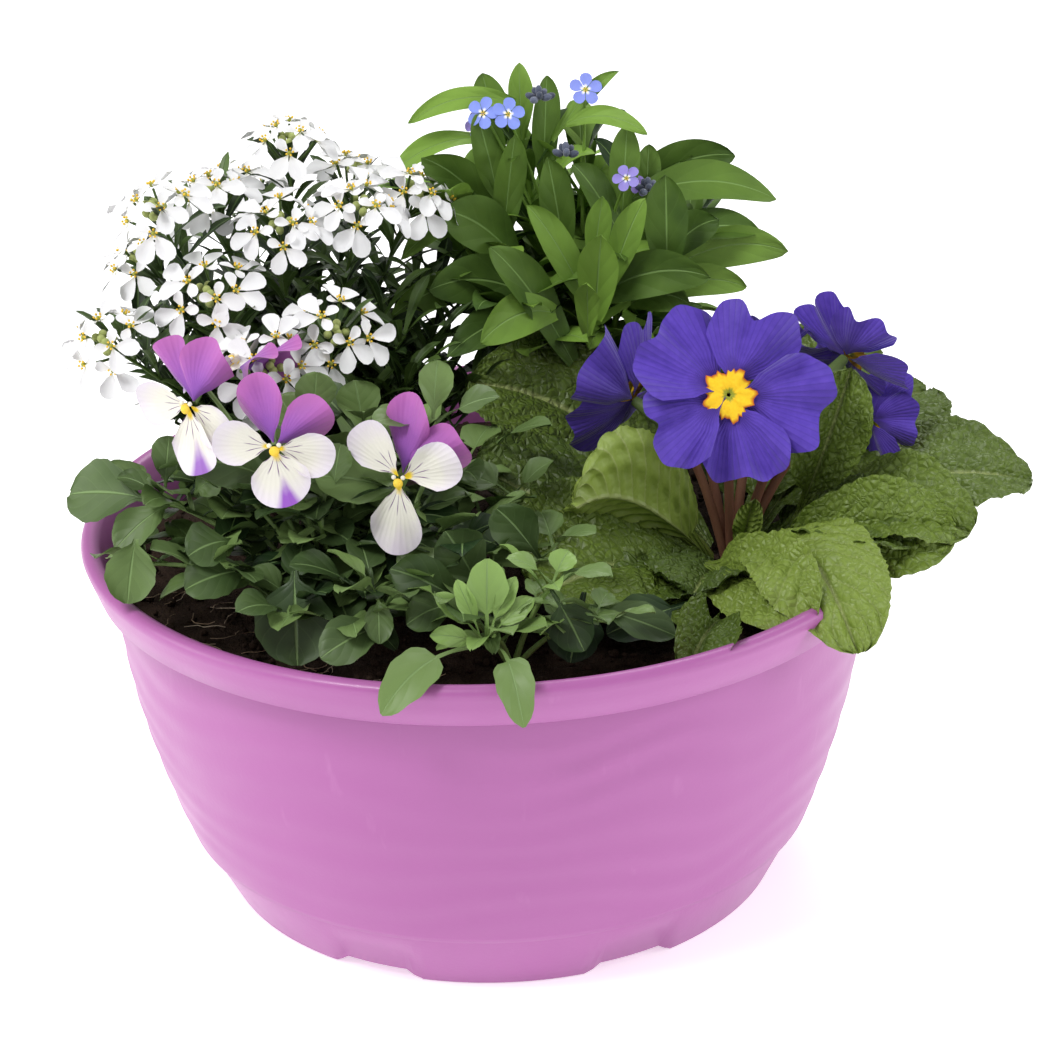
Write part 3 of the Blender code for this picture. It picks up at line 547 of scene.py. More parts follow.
def buildSoil():
    draw = random.Random(3)
    bm = newMesh()
    rings, steps = soilShape["rings"], soilShape["steps"]
    lumpWidth, lumpHeight = soilShape["lumpWidth"], soilShape["lumpHeight"]
    top = []
    for i in range(rings + 1):
        radius = max(0.01, (wallRadius(soilTop) - 2.6) * i / rings)
        row = []
        for k in range(steps + 1):
            angle = tau * k / steps
            x, y = radius * cos(angle), radius * sin(angle)
            lump = noise.fractal(Vector((x / lumpWidth, y / lumpWidth, 0)), 1.0, 2.0, 5) * lumpHeight
            row.append(Vector((x, y, soilTop - 1.2 + lump * min(1, (118 - radius) / 10))))
        top.append(row)
    skirt = [Vector((point.x, point.y, 98)) for point in top[-1]]
    fillGrid(bm, top + [skirt], 0.4)
    for _ in range(soilShape["crumbs"]):
        radius = 114 * sqrt(draw.random())
        angle = draw.uniform(0, tau)
        size = draw.uniform(*soilShape["crumbSize"]) * draw.uniform(0.5, 1)
        spot = Vector((radius * cos(angle), radius * sin(angle), soilTop + draw.uniform(-1, 0.8)))
        tilt = Vector((draw.uniform(-1, 1), draw.uniform(-1, 1), draw.uniform(0.2, 1))).normalized()
        addBall(bm, spot, size, tilt, draw.uniform(0.5, 1.1), draw.random())
    for vert in bm.verts:
        vert.co += noise.noise_vector(vert.co * 0.9) * 0.5
    material, tree, shader = newMaterial("soilCrumbs", 0.95, 0.15)
    crumb = noiseOf(tree, 420, 6)
    tone = toneOf(tree)
    dark = blendColour(crumb, *soilShape["browns"])
    paint(shader, blendColour(times(tone, 0.4), dark, soilShape["dryBrown"]),
          noiseOf(tree, 900, 5), 0.9, 0.002)
    finishPiece("soilTop", bm, material, "potting_soil", "soil")


fibreShape = dict(
    count=46,
    angles=(190, 262),  # bare soil at the front left
    radii=(84, 112),
    steps=7,
    stride=2.2,
    thick=0.16,
    colours=((0.3, 0.2, 0.12), (0.62, 0.52, 0.4)),
)


def buildFibres():
    draw = random.Random(5)
    bm = newMesh()
    angles = [radians(angle) for angle in fibreShape["angles"]]
    for _ in range(fibreShape["count"]):
        angle = draw.uniform(*angles)
        radius = draw.uniform(*fibreShape["radii"])
        spot = Vector((radius * cos(angle), radius * sin(angle), soilTop + draw.uniform(0.5, 2.5)))
        heading = draw.uniform(0, tau)
        points = []
        for _ in range(fibreShape["steps"]):
            points.append(spot.copy())
            heading += draw.uniform(-0.7, 0.7)
            stride = Vector((cos(heading), sin(heading), draw.uniform(-0.25, 0.25)))
            spot += stride * fibreShape["stride"]
        if max(point.xy.length for point in points) < 114:
            addTube(bm, points, [fibreShape["thick"]] * len(points), 4, draw.random())
    material, tree, shader = newMaterial("rootFibre", 0.8, 0.2)
    feed(shader.inputs["Base Color"], blendColour(toneOf(tree), *fibreShape["colours"]))
    finishPiece("rootFibres", bm, material, "potting_soil")


# the primrose

primrose = dict(
    root=Vector((76, -12, 107)),
    # a bloom's eye, the way it faces, its reach, its turn in degrees and its cup
    blooms=[
        ((74, -34, 170), (0.0, -0.94, 0.34), 32, -5, 0.05),
        ((46, -10, 160), (-0.66, 0.55, 0.36), 26, 40, 0.3),
        ((57, 12, 163), (-0.4, 0.5, 0.66), 23, 5, 0.12),
        ((92, 16, 163), (0.34, 0.56, 0.7), 23, 30, 0.12),
        ((113, 0, 168), (0.62, 0.62, 0.4), 22, 55, 0.2),
        ((121, 2, 146), (0.7, 0.56, -0.34), 18, 20, 0.26),
    ],
    petalReaches=(1.02, 0.98, 1.0, 0.9, 0.9),  # the five petals of a bloom differ in length
    petalSpread=0.74,
    ruffles=(2.8, 1.5),  # the front bloom's, then the others'
    eyeRadius=6.9,
    eyeLifts=(1.7, 3.0),
    violets=((0.06, 0.026, 0.33), (0.125, 0.062, 0.52)),
    petalVein=(0.03, 0.012, 0.19),
    petalHeart=(0.035, 0.01, 0.17),
    yellows=((0.92, 0.5, 0.005), (0.98, 0.7, 0.03)),
    eyeEdge=(0.5, 0.1, 0.01),
    throat=(0.32, 0.34, 0.03),
    # a leaf's tip, its pull, its width, its roll in degrees, its cup and its tone
    leaves=[
        ((-5, 8, 164), (4, 28, 14), 60, 22, 0.1, 0.5),
        ((-4, -26, 150), (6, -8, -6), 58, 20, 0.12, 0.35),
        ((26, -52, 146), (-4, -4, 22), 44, -62, 0.35, 1.45),
        ((14, -70, 125), (0, -6, 13), 66, 27, 0.16, 0.62),
        ((108, -90, 112), (0, -8, 43), 42, -8, -0.08, 1.25),
        ((170, -16, 134), (0, 0, 24), 50, -14, 0.06, 0.55),
        ((147, -44, 129), (0, -4, 26), 42, -18, 0.16, 0.8),
        ((145, 44, 142), (0, 6, 20), 58, -14, 0.12, 0.45),
        ((120, 56, 158), (0, 6, 14), 50, -8, 0.14, 0.5),
        ((152, 24, 126), (0, 0, 8), 44, -8, 0.2, 0.4), ((88, 78, 146), (0, 6, 18), 48, 0, 0.16, 0.4),
        ((60, -68, 122), (0, -2, 6), 36, 0, 0.2, 0.3),
        ((128, -52, 128), (0, -4, 24), 40, -10, 0.2, 0.45),
        ((40, -66, 118), (0, -4, 8), 40, 10, 0.2, 0.35),
    ],
    # leaves turned to the front: the foot, the tip, the pull, the width, the cup and the tone
    uprightLeaves=[
        ((97, -19, 124), (112, -25, 177), (2, -2, 0), 27, 0.4, 0.75),
        ((78, -30, 114), (82, -33, 138), (-1, -2, 0), 11, 0.6, 1.4),
        ((68, -78, 116), (56, -107, 113), (0, -4, 8), 26, 0.75, 0.4),
        ((66, -38, 116), (96, -86, 121), (-2, -6, 9), 34, 0.3, 1.2),
        ((84, -32, 118), (142, -46, 131), (0, -10, 6), 34, 0.24, 0.95),
    ],
    crinkle=dict(wave=1.6, waves=2.6, teeth=0.035, toothCount=34, curl=3, quilt=2.0, quiltVeins=11),
    look=dict(dark=(0.04, 0.074, 0.01), light=(0.16, 0.235, 0.032), young=(0.25, 0.34, 0.06),
              rib=(0.34, 0.4, 0.14), ribWidth=0.026, veins=11, slant=5.2, youngVeins=0.75,
              veinDepth=0.8, net=400, roughness=0.44, bump=0.6),
    stalkReds=((0.2, 0.06, 0.05), (0.36, 0.17, 0.1)),
    calyx=(0.1, 0.15, 0.04),
)


def heartOutline(notch, shift, lobe):  # a petal with a dip in its outer edge
    def outline(u):
        dip = notch * exp(-(((u - shift) / 0.24) ** 2))
        return 1 - dip - 0.34 * abs(u) ** 3 + lobe * u + 0.012 * sin(17 * u + 40 * notch)
    return outline


def primrosePetalMaterial():
    material, tree, shader = newMaterial("primrosePetal", 0.62, 0.25, sheen=0.25)
    across, outward = uvPlace(tree)
    streak = ridges(across, 62)
    fine = noiseOf(tree, 350, 5)
    veins = rangeOf(streak, 0.45, 0.0, 0, 0.28)
    violet = blendColour(fine, *primrose["violets"])
    violet = blendColour(veins, violet, primrose["petalVein"])
    inner = rangeOf(outward, 0.42, 0.2)
    violet = blendColour(times(inner, 0.7), violet, primrose["petalHeart"])
    paint(shader, violet, plus(streak, fine), 0.35, 0.0006)
    return material


def primroseEyeMaterial():
    material, tree, shader = newMaterial("primroseEye", 0.6, 0.3)
    across, outward = uvPlace(tree)
    grain = noiseOf(tree, 900, 3)
    yellow = blendColour(grain, *primrose["yellows"])
    yellow = blendColour(rangeOf(outward, 0.82, 0.98), yellow, primrose["eyeEdge"])
    throat = rangeOf(outward, 0.24, 0.12)
    paint(shader, blendColour(throat, yellow, primrose["throat"]), grain, 0.4, 0.0006)
    return material


def addPrimroseEye(bm, heart, normal, index, turn, rise):
    right, above = flowerAxes(normal)
    rings, steps = 6, 60
    rows = []
    for i in range(rings + 1):
        row = []
        for k in range(steps + 1):
            angle = tau * k / steps
            ragged = 1 + 0.22 * abs(cos(2.5 * (angle - turn))) ** 2
            ragged += 0.1 * sin(13 * angle + index) + 0.05 * sin(29 * angle)
            radius = primrose["eyeRadius"] * ragged * (0.08 + 0.92 * i / rings)
            lift = rise + 0.35 * sin(8 * angle) * i / rings
            lift -= 1.3 * exp(-(i / 1.2) ** 2) + 0.3 * (i / rings) ** 3
            row.append(heart + around(right, above, angle) * radius + normal * lift)
        rows.append(row)
    fillGrid(bm, rows, 0.5)


def buildPrimroseBlooms():
    petalMaterial = primrosePetalMaterial()
    eyeMaterial = primroseEyeMaterial()
    reaches, spread = primrose["petalReaches"], primrose["petalSpread"]
    for index, (place, facing, reach, degrees, cup) in enumerate(primrose["blooms"], 1):
        normal = Vector(facing).normalized()
        heart = Vector(place)
        turn = radians(degrees)
        look = 0 if index == 1 else 1
        draw = random.Random(200 + index)
        bm = newMesh()
        for k in range(5):
            spin = turn + tau * k / 5 + draw.uniform(-0.06, 0.06)
            notch, shift, lobe = draw.uniform(0.08, 0.26), draw.uniform(-0.2, 0.2), draw.uniform(-0.06, 0.06)
            addPetal(bm, heart, normal, spin, spread, reach * reaches[k],
                     heartOutline(notch, shift, lobe), 24, 32, draw.random(),
                     cup=cup + draw.uniform(-0.06, 0.08), lift=0.5 * (k % 2) + 0.1 * k, tilt=0.13,
                     ruffle=primrose["ruffles"][look], ruffles=draw.uniform(5, 9),
                     droop=draw.uniform(-0.1, 0.12))
        finishPiece(f"primroseBloom{index}", bm, petalMaterial, "violet_petal", f"primrose_bloom_{index}")
        bm = newMesh()
        addPrimroseEye(bm, heart, normal, index, turn, primrose["eyeLifts"][look])
        finishPiece(f"primroseEye{index}", bm, eyeMaterial, "yellow_eye", f"primrose_eye_{index}")


def buildPrimroseGreen():
    root, crinkle = primrose["root"], primrose["crinkle"]
    bm = newMesh()
    for tip, bow, width, roll, cup, tone in primrose["leaves"]:
        end, pull = Vector(tip), Vector(bow)
        toward = (end - root) / 2 + pull
        out = Vector((toward.x, toward.y, 0)).normalized()
        base = root + out * 8.5  # the leaf stalks stand in a ring round the root
        addLeaf(bm, base, end, pull, width, paddleOutline, 76, 30, tone, cup=cup, roll=radians(roll),
                phase=tone * 7, **crinkle)
    for base, tip, pull, width, cup, tone in primrose["uprightLeaves"]:
        addShownLeaf(bm, Vector(base), Vector(tip), Vector(pull), width, paddleOutline, 48, 20, tone, cup=cup,
                     **crinkle)
    material = leafMaterial("primroseLeaf", primrose["look"])
    finishPiece("primroseFoliage", bm, material, "leaf_green", "primrose_leaves")
    bm = newMesh()
    for place, facing, *_ in primrose["blooms"]:
        normal = Vector(facing).normalized()
        back = Vector(place) - normal * 0.6
        neck = back - normal * 13
        start = root + (Vector((neck.x, neck.y, root.z)) - root) * 0.05 - up * 4
        addStem(bm, start, neck, up * 20, 3.3, 0.8, 12, 8, 0.1)
        points = [neck - (back - neck) * 0.1, neck + (back - neck) * 0.4, back]
        addTube(bm, points, [1.9, 2.4, 1.6], 10, 1.0)
    material, tree, shader = newMaterial("primroseStalk", 0.5, 0.35)
    red = blendColour(noiseOf(tree, 240, 4, (1, 1, 0.15)), *primrose["stalkReds"])
    paint(shader, blendColour(toneOf(tree), red, primrose["calyx"]), noiseOf(tree, 1500, 2), 0.4, 0.0005)
    finishPiece("primroseStalks", bm, material, "red_stalk", "primrose_stalks")


# the horned violet

violet = dict(
    root=Vector((-46, -58, 106)),
    frontRoot=Vector((6, -88, 106)),
    # a bloom's eye, the way it faces, its size, the angles of its upper and side petals, the lower petal's
    # angle, spread and reach, and how strong the purple mark on it is
    blooms=[
        ((-86, -61, 183), (-0.5, -0.85, 0.18), 18, (130, 78), (186, 336), (286, 0.62, 1.15), 0.9),
        ((-61, -74, 174), (0.06, -0.96, 0.26), 18, (104, 34), (170, -14), (278, 0.86, 0.98), 1.0),
        ((-25, -72, 162), (-0.24, -0.95, 0.16), 20, (86, 34), (130, 22), (268, 0.58, 1.12), 0.15),
        ((-74, -36, 186), (-0.5, 0.3, 0.8), 17, (140, 70), (200, 0), (280, 0.6, 1.16), 0.6),
    ],
    lilac=dict(base=(0.24, 0.08, 0.44), edge=(0.46, 0.13, 0.42), edgeStart=0.1),
    white=dict(base=(0.76, 0.74, 0.66), edge=(0.72, 0.66, 0.74), edgeStart=0.6, whiskers=13, blotch=0.2),
    purpleMark=(0.3, 0.1, 0.52),
    yellowBlotch=(0.9, 0.66, 0.02),
    darkWhisker=(0.11, 0.02, 0.16),
    beard=(0.8, 0.78, 0.66),
    oranges=((0.9, 0.5, 0.01), (0.85, 0.7, 0.1)),
    habit=dict(thick=2.2, start=0.35, length=24, width=13, outline=spoonOutline, pitch=2, rows=14,
               across=6, tones=(0.0, 1.1)),
    frontHabit=dict(thick=2.0, start=0.4, length=19, width=8, outline=spoonOutline, pitch=0, rows=12,
                    across=6, tones=(0.5, 1.4)),
    # a stem's end, its arch and the number of its leaves
    stems=[
        ((-112, -52, 128), 16, 12), ((-84, -72, 132), 14, 12), ((-60, -86, 125), 10, 12),
        ((-30, -92, 130), 16, 12), ((-18, -66, 138), 16, 12), ((-60, -46, 150), 12, 12),
        ((-100, -46, 147), 14, 14), ((-36, -36, 148), 12, 12), ((-50, -64, 146), 10, 12),
        ((-36, -50, 168), 8, 12), ((-52, -44, 166), 8, 12), ((-14, -54, 172), 8, 11),
        ((-72, -54, 150), 10, 12), ((-20, -62, 150), 8, 12), ((-2, -72, 140), 12, 12),
        ((-86, -44, 152), 8, 12), ((4, -50, 128), 14, 10), ((-10, -28, 136), 14, 10),
        ((-40, -92, 120), 8, 10), ((-6, -90, 126), 10, 10), ((10, -40, 140), 12, 10),
        ((20, -62, 130), 12, 10), ((0, -16, 146), 14, 10), ((-30, -14, 142), 14, 10),
        ((-104, -22, 138), 14, 10), ((-84, -16, 142), 14, 10),
    ],
    frontStems=[
        ((0, -108, 127), 8, 9), ((20, -92, 136), 10, 10), ((-12, -96, 132), 8, 9),
        ((34, -98, 126), 10, 10),
    ],
    # single leaves: the foot, the tip, the width and the tone
    leaves=[
        ((-103, -46, 147), (-128, -33, 144), 21, 0.45), ((-96, -54, 154), (-94, -50, 169), 10, 0.55),
        ((-63, -56, 156), (-86, -62, 166), 17, 0.4), ((-44, -60, 160), (-58, -66, 163), 11, 0.45),
        ((-45, -66, 157), (-42, -66, 171), 10, 0.6), ((-24, -62, 153), (-50, -66, 161), 17, 0.8),
        ((-76, -66, 141), (-88, -78, 142), 15, 0.35), ((-71, -72, 134), (-89, -84, 134), 16, 0.35),
        ((-57, -80, 137), (-57, -92, 112), 25, 0.2), ((-105, -62, 141), (-108, -71, 124), 16, 0.75),
        ((-30, -96, 126), (-49, -106, 121), 15, 0.45), ((-32, -96, 134), (-32, -104, 124), 9, 0.55),
        ((-7, -86, 127), (-28, -96, 144), 15, 0.3), ((-3, -82, 130), (-12, -84, 150), 17, 0.4),
        ((15, -70, 134), (3, -78, 154), 15, 0.35), ((-36, -50, 168), (-38, -48, 184), 14, 0.85),
        ((-51, -50, 170), (-49, -48, 187), 13, 0.8), ((-15, -56, 174), (-13, -52, 191), 11, 0.9),
        ((-55, -52, 168), (-61, -48, 180), 12, 0.8), ((-10, -92, 130), (-24, -100, 128), 12, 0.4),
        ((-88, -50, 150), (-78, -58, 158), 11, 0.65), ((-96, -48, 146), (-112, -58, 136), 13, 0.6),
    ],
    frontLeaves=[
        ((-1, -106, 124), (0, -100, 148), 13, 1.35), ((-2, -107, 124), (-17, -112, 130), 7, 1.3),
        ((-1, -106, 125), (13, -102, 136), 7, 1.25), ((-2, -106, 125), (-15, -103, 139), 7, 1.3),
        ((-1, -106, 125), (8, -100, 142), 6, 1.4), ((-2, -107, 124), (-9, -103, 143), 6, 1.45),
        ((18, -92, 134), (27, -103, 119), 15, 0.2), ((26, -90, 128), (54, -95, 119), 13, 0.35),
        ((28, -82, 128), (23, -96, 112), 19, 0.05), ((62, -82, 124), (34, -90, 118), 16, 0.1),
    ],
    # leaves that hang over the rim, with a pull
    rimLeaves=[
        ((-5, -108, 124), (-31, -133, 116), (-2, -6, 12), 14, 0.95),
        ((3, -110, 124), (9, -138, 113), (0, -7, 14), 12, 0.9),
    ],
    look=dict(dark=(0.014, 0.036, 0.01), light=(0.155, 0.24, 0.072), young=(0.25, 0.4, 0.1),
              rib=(0.2, 0.31, 0.11), veins=5, slant=4.0, youngVeins=0.2, veinDepth=0.15, specular=0.36),
)


def roundPetal(u):
    return 1 - 0.4 * abs(u) ** 2.6


def violetMaterial(name, base, edge, edgeStart, whiskers=0, blotch=0):
    material, tree, shader = newMaterial(name, 0.6, 0.25, sheen=0.2)
    across, outward = uvPlace(tree)
    fine = noiseOf(tree, 300, 5)
    reach = plus(outward, times(minus(fine, 0.5), 0.25))
    colour = blendColour(rangeOf(reach, edgeStart, 1.0), base, edge)
    if whiskers:  # the lower petals: a purple wedge at the tip, a yellow blotch and dark lines near the eye
        fromMiddle = maths("ABSOLUTE", minus(across, 0.54))
        wedge = minus(fromMiddle, times(outward, 0.13))
        mark = times(rangeOf(wedge, 0.01, -0.06), rangeOf(reach, 0.4, 0.8))
        mark = times(mark, toneOf(tree))
        colour = blendColour(mark, colour, violet["purpleMark"])
        blot = rangeOf(reach, blotch, blotch * 0.55)
        colour = blendColour(blot, colour, violet["yellowBlotch"])
        comb = ridges(across, whiskers)
        lines = times(rangeOf(comb, 0.3, 0.1), rangeOf(outward, 0.48, 0.36))
        lines = times(lines, rangeOf(outward, 0.14, 0.2))
        colour = blendColour(lines, colour, violet["darkWhisker"])
    paint(shader, colour, plus(ridges(across, 40), fine), 0.22, 0.0004)
    return material


def buildVioletBlooms():
    lilac = violetMaterial("violetUpper", **violet["lilac"])
    white = violetMaterial("violetLower", **violet["white"])
    yellow, tree, shader = newMaterial("violetEye", 0.55, 0.3)
    orange = blendColour(noiseOf(tree, 700, 2), *violet["oranges"])
    paint(shader, blendColour(toneOf(tree), violet["beard"], orange), noiseOf(tree, 900, 2), 0.4, 0.0005)
    for index, (place, facing, size, uppers, sides, lower, mark) in enumerate(violet["blooms"], 1):
        normal = Vector(facing).normalized()
        heart = Vector(place)
        bm = newMesh()
        for k, angle in zip((-1, 1), sides):
            addPetal(bm, heart, normal, radians(angle), 0.62, size, roundPetal, 16, 18, 0,
                     cup=0.08, tilt=0.08 * k, lift=0.2 * k, ruffle=1.3, ruffles=4.6, droop=0.06)
        angle, spread, reach = lower
        addPetal(bm, heart, normal, radians(angle), spread, size * reach, roundPetal, 18, 20, mark,
                 cup=0.06, lift=0.7, ruffle=1.6, ruffles=5.2, droop=0.05)
        finishPiece(f"violetBloom{index}Lower", bm, white, "white_petal", f"violet_bloom_{index}_white")
        bm = newMesh()
        for k, angle in zip((-1, 1), uppers):
            behind, spread, reach = heart - normal * 2.0, 0.54 + 0.05 * k, size * (1.16 - 0.05 * k)
            addPetal(bm, behind, normal, radians(angle), spread, reach, roundPetal, 18, 18, 0.5,
                     cup=-0.1, lift=0.5 * k, ruffle=3.6, ruffles=4.5, tilt=0.14 * k, droop=-0.12)
        finishPiece(f"violetBloom{index}Upper", bm, lilac, "lilac_petal", f"violet_bloom_{index}_lilac")
        bm = newMesh()
        right, above = flowerAxes(normal)
        addBall(bm, heart + normal * 2.2 - above * 1.0, 1.5, normal, 0.6, 1.0, 3)
        for k in (-1, 1):  # the pale beard on each side of the throat
            addBall(bm, heart + normal * 1.9 + right * 1.4 * k + above * 0.7, 0.75, normal, 0.8, 0.0, 2)
        finishPiece(f"violetEye{index}", bm, yellow, "yellow_eye", f"violet_eye_{index}")


def addLeafyStem(bm, root, end, bow, draw, count, habit, blooms=(), **shape):
    start, tones = habit["start"], habit["tones"]
    addStem(bm, root, end, bow, habit["thick"], 0.6, 10, 6, tones[1])
    turn = draw.uniform(0, tau)
    for k in range(count):
        t = start + (1 - start) * k / max(1, count - 1)
        base = arcPoint(root, end, bow, t)
        turn += goldenAngle
        rise = radians(habit["pitch"] + 34 * t + draw.uniform(-14, 14))
        size = habit["length"] * draw.uniform(0.75, 1.15) * (1 - 0.18 * abs(t - 0.7))
        away = Vector((cos(turn), sin(turn), 0))
        tip = base + around(away, up, rise) * size
        tip.z = max(tip.z, soilTop + 4)
        if hidesBloom(tip, blooms) or hidesBloom((base + tip) / 2, blooms):
            continue
        pull = up * size * draw.uniform(0.08, 0.2)
        width = habit["width"] * draw.uniform(0.8, 1.15)
        addLeaf(bm, base, tip, pull, width, habit["outline"], habit["rows"], habit["across"],
                draw.uniform(*tones), roll=draw.uniform(-0.45, 0.45), phase=draw.uniform(0, 6), **shape)


def buildVioletGreen():
    draw = random.Random(11)
    root, frontRoot = violet["root"], violet["frontRoot"]
    shape = dict(cup=0.22, teeth=0.08, toothCount=5, wave=0.7, waves=1.5, curl=2)
    bm = newMesh()
    shown = []
    for place, facing, size, *_ in violet["blooms"]:
        normal = Vector(facing).normalized()
        back = Vector(place) - normal * 2.6
        bend = back - normal * 7 + up * 3
        addStem(bm, root, bend, up * 14, 1.9, 0.7, 12, 7, 0.9)
        addTube(bm, [bend, bend + up * 0.9 + normal * 2.5, back], [0.7, 0.8, 0.8], 7, 0.9)
        shown.append((Vector(place) - up * 4, size * 1.15))
    for end, arch, count in violet["stems"]:
        addLeafyStem(bm, root, Vector(end), up * arch, draw, count, violet["habit"], shown, **shape)
    addShownLeaves(bm, violet["leaves"], 3, paddleOutline, 18, draw, cup=0.2, teeth=0.05, toothCount=5,
                   wave=0.9, waves=1.4)
    material = leafMaterial("violetLeaf", violet["look"])
    finishPiece("violetFoliage", bm, material, "leaf_green", "violet_leaves")
    bm = newMesh()
    for end, arch, count in violet["frontStems"]:
        addLeafyStem(bm, frontRoot, Vector(end), up * arch, draw, count, violet["frontHabit"], shown, **shape)
    addShownLeaves(bm, violet["frontLeaves"], 2, spoonOutline, 16, draw, cup=0.25, teeth=0.08, toothCount=4,
                   wave=0.6, waves=1.5)
    for base, tip, bow, width, tone in violet["rimLeaves"]:
        addShownLeaf(bm, Vector(base), Vector(tip), Vector(bow), width, spoonOutline, 20, 8, tone,
                     cup=0.3, teeth=0.08, toothCount=5, wave=0.5, waves=1.3)
    finishPiece("violetFrontFoliage", bm, material, "leaf_green", "violet_front_shoot")


# the candytuft

candytuft = dict(
    root=Vector((-62, 34, 106)),
    heads=[
        (-98, 8, 216), (-60, 46, 224), (-62, 14, 208), (-112, -16, 184), (-82, -6, 194),
        (-46, -14, 184), (-22, 40, 208), (-38, 22, 210), (-64, -26, 178), (-84, 34, 212),
        (-106, 40, 190), (-78, 72, 202), (-42, 74, 204),
    ],
    florets=8,  # in each head
    buds=7,
    floretSize=(8.8, 10.8),
    innerPetals=0.6,  # how long the two inner petals of a floret are, beside the outer ones
    whites=((0.8, 0.8, 0.82), (0.88, 0.88, 0.88)),
    floretHeart=(0.62, 0.66, 0.4),
    bud=(0.42, 0.48, 0.16),
    eyes=((0.3, 0.36, 0.06), (0.86, 0.56, 0.05)),
    # the ends of shoots without flowers that show at the front
    shoots=[
        (-16, 20, 168), (-8, 30, 176), (-2, 14, 156), (-18, 38, 188), (-24, 8, 162), (4, 26, 148),
        (-12, 46, 182), (-10, 4, 146), (-30, 20, 182),
    ],
    fillers=44,  # shoots that fill the bush below the heads
    fillerReach=50,
    headHabit=dict(thick=1.9, start=0.3, length=22, width=4.4, outline=needleOutline, pitch=14, rows=7,
                   across=4, tones=(0.0, 1.0)),
    shootHabit=dict(thick=1.7, start=0.4, length=22, width=4.6, outline=needleOutline, pitch=14, rows=7,
                    across=4, tones=(0.0, 1.0)),
    needle=dict(cup=0.25, curl=2),
    look=dict(dark=(0.01, 0.026, 0.006), light=(0.08, 0.14, 0.028), young=(0.16, 0.25, 0.05),
              rib=(0.1, 0.17, 0.05), ribWidth=0.1, veins=2, slant=1.0),
)


def candytuftPetal(u):
    return 1 - 0.36 * abs(u) ** 2.2


def candytuftPetalMaterial():
    material, tree, shader = newMaterial("candytuftPetal", 0.6, 0.25, sheen=0.15)
    across, outward = uvPlace(tree)
    white = blendColour(noiseOf(tree, 260, 3), *candytuft["whites"])
    white = blendColour(rangeOf(outward, 0.22, 0.05, 0, 0.8), white, candytuft["floretHeart"])
    budTone = rangeOf(toneOf(tree), 1.5, 2.0)
    paint(shader, blendColour(budTone, white, candytuft["bud"]), noiseOf(tree, 800, 3), 0.15, 0.0003)
    return material


def addFloret(bm, eyes, middle, face, outward, draw):
    axes = (outward, face.cross(outward))
    outer = draw.uniform(*candytuft["floretSize"])
    inner = outer * candytuft["innerPetals"]
    for angle, size in ((30, outer), (-30, outer), (126, inner), (-126, inner)):
        addPetal(bm, middle, face, radians(angle + draw.uniform(-7, 7)), 0.48, size, candytuftPetal, 6, 7,
                 draw.random(), start=0.04, cup=draw.uniform(-0.05, 0.2), droop=0.12, axes=axes)
    addBall(eyes, middle + face * 0.7, 0.8, face, 1.2, 0.1)
    for k in range(5):
        turn = tau * k / 5 + 0.4
        addBall(eyes, middle + around(*axes, turn) * 1.15 + face * 1.5, 0.42, face, 1.2, 1.0)


def addHead(bm, eyes, green, heart, draw):
    facing = (heart - (candytuft["root"] + up * 40)).normalized()
    normal = (facing + up * 0.5 + Vector((0, -0.25, 0))).normalized()
    right = normal.cross(Vector((0.2, 0.9, 0.3))).normalized()
    above = normal.cross(right)
    for k in range(candytuft["florets"]):
        ring = sqrt((k + 0.3) / candytuft["florets"])
        turn = goldenAngle * k + draw.uniform(-0.2, 0.2)
        lean = radians(10 + 62 * ring)
        radial = around(right, above, turn)
        out = around(normal, radial, lean)
        middle = heart + out * draw.uniform(10.0, 13.0) + normal * 1.0
        sway = Vector((draw.uniform(-0.2, 0.2), draw.uniform(-0.35, 0.1), draw.uniform(-0.1, 0.2)))
        face = (out + normal * 0.35 + sway).normalized()
        addStem(green, heart - normal * 3, middle - face * 0.6, radial * 1.5, 1.0, 0.9, 4, 5, 0.9)
        outward = radial - face * radial.dot(face)
        outward = outward.normalized() if outward.length > 0.05 else face.cross(right).normalized()
        addFloret(bm, eyes, middle, face, outward, draw)
    for k in range(candytuft["buds"]):
        turn = goldenAngle * k
        radius = 1.6 * sqrt(k)
        aside = around(right, above, turn) * radius
        addBall(bm, heart + normal * (8.5 - radius * 0.4) + aside, 1.35, normal, 1.25, 2.0, 2)
    return heart - normal * 3


def buildCandytuft():
    petalMaterial = candytuftPetalMaterial()
    eyeMaterial, tree, shader = newMaterial("candytuftEye", 0.6, 0.3)
    colour = blendColour(toneOf(tree), *candytuft["eyes"])
    paint(shader, colour, noiseOf(tree, 900, 2), 0.4, 0.0003)
    root, needle = candytuft["root"], candytuft["needle"]
    green = newMesh()
    eyes = newMesh()
    draw = random.Random(7)
    for index, spot in enumerate(candytuft["heads"], 1):
        bm = newMesh()
        end = addHead(bm, eyes, green, Vector(spot), draw)
        finishPiece(f"candytuftHead{index}", bm, petalMaterial, "white_petal", f"candytuft_head_{index}")
        addLeafyStem(green, root, end, up * 10, draw, 40, candytuft["headHabit"], **needle)
    shoots = [Vector(spot) for spot in candytuft["shoots"]]
    count = candytuft["fillers"]
    for k in range(count):
        turn = goldenAngle * k
        spread = candytuft["fillerReach"] * sqrt((k + 1) / count)
        rise = draw.uniform(52, 88) - spread * 0.35
        shoots.append(root + Vector((cos(turn) * spread * 1.05, sin(turn) * spread, rise)))
    for end in shoots:
        addLeafyStem(green, root, end, up * 8, draw, 24, candytuft["shootHabit"], **needle)
    material = leafMaterial("candytuftLeaf", candytuft["look"])
    finishPiece("candytuftFoliage", green, material, "leaf_green", "candytuft_leaves")
    finishPiece("candytuftEyes", eyes, eyeMaterial, "yellow_eye")


# the forget-me-not

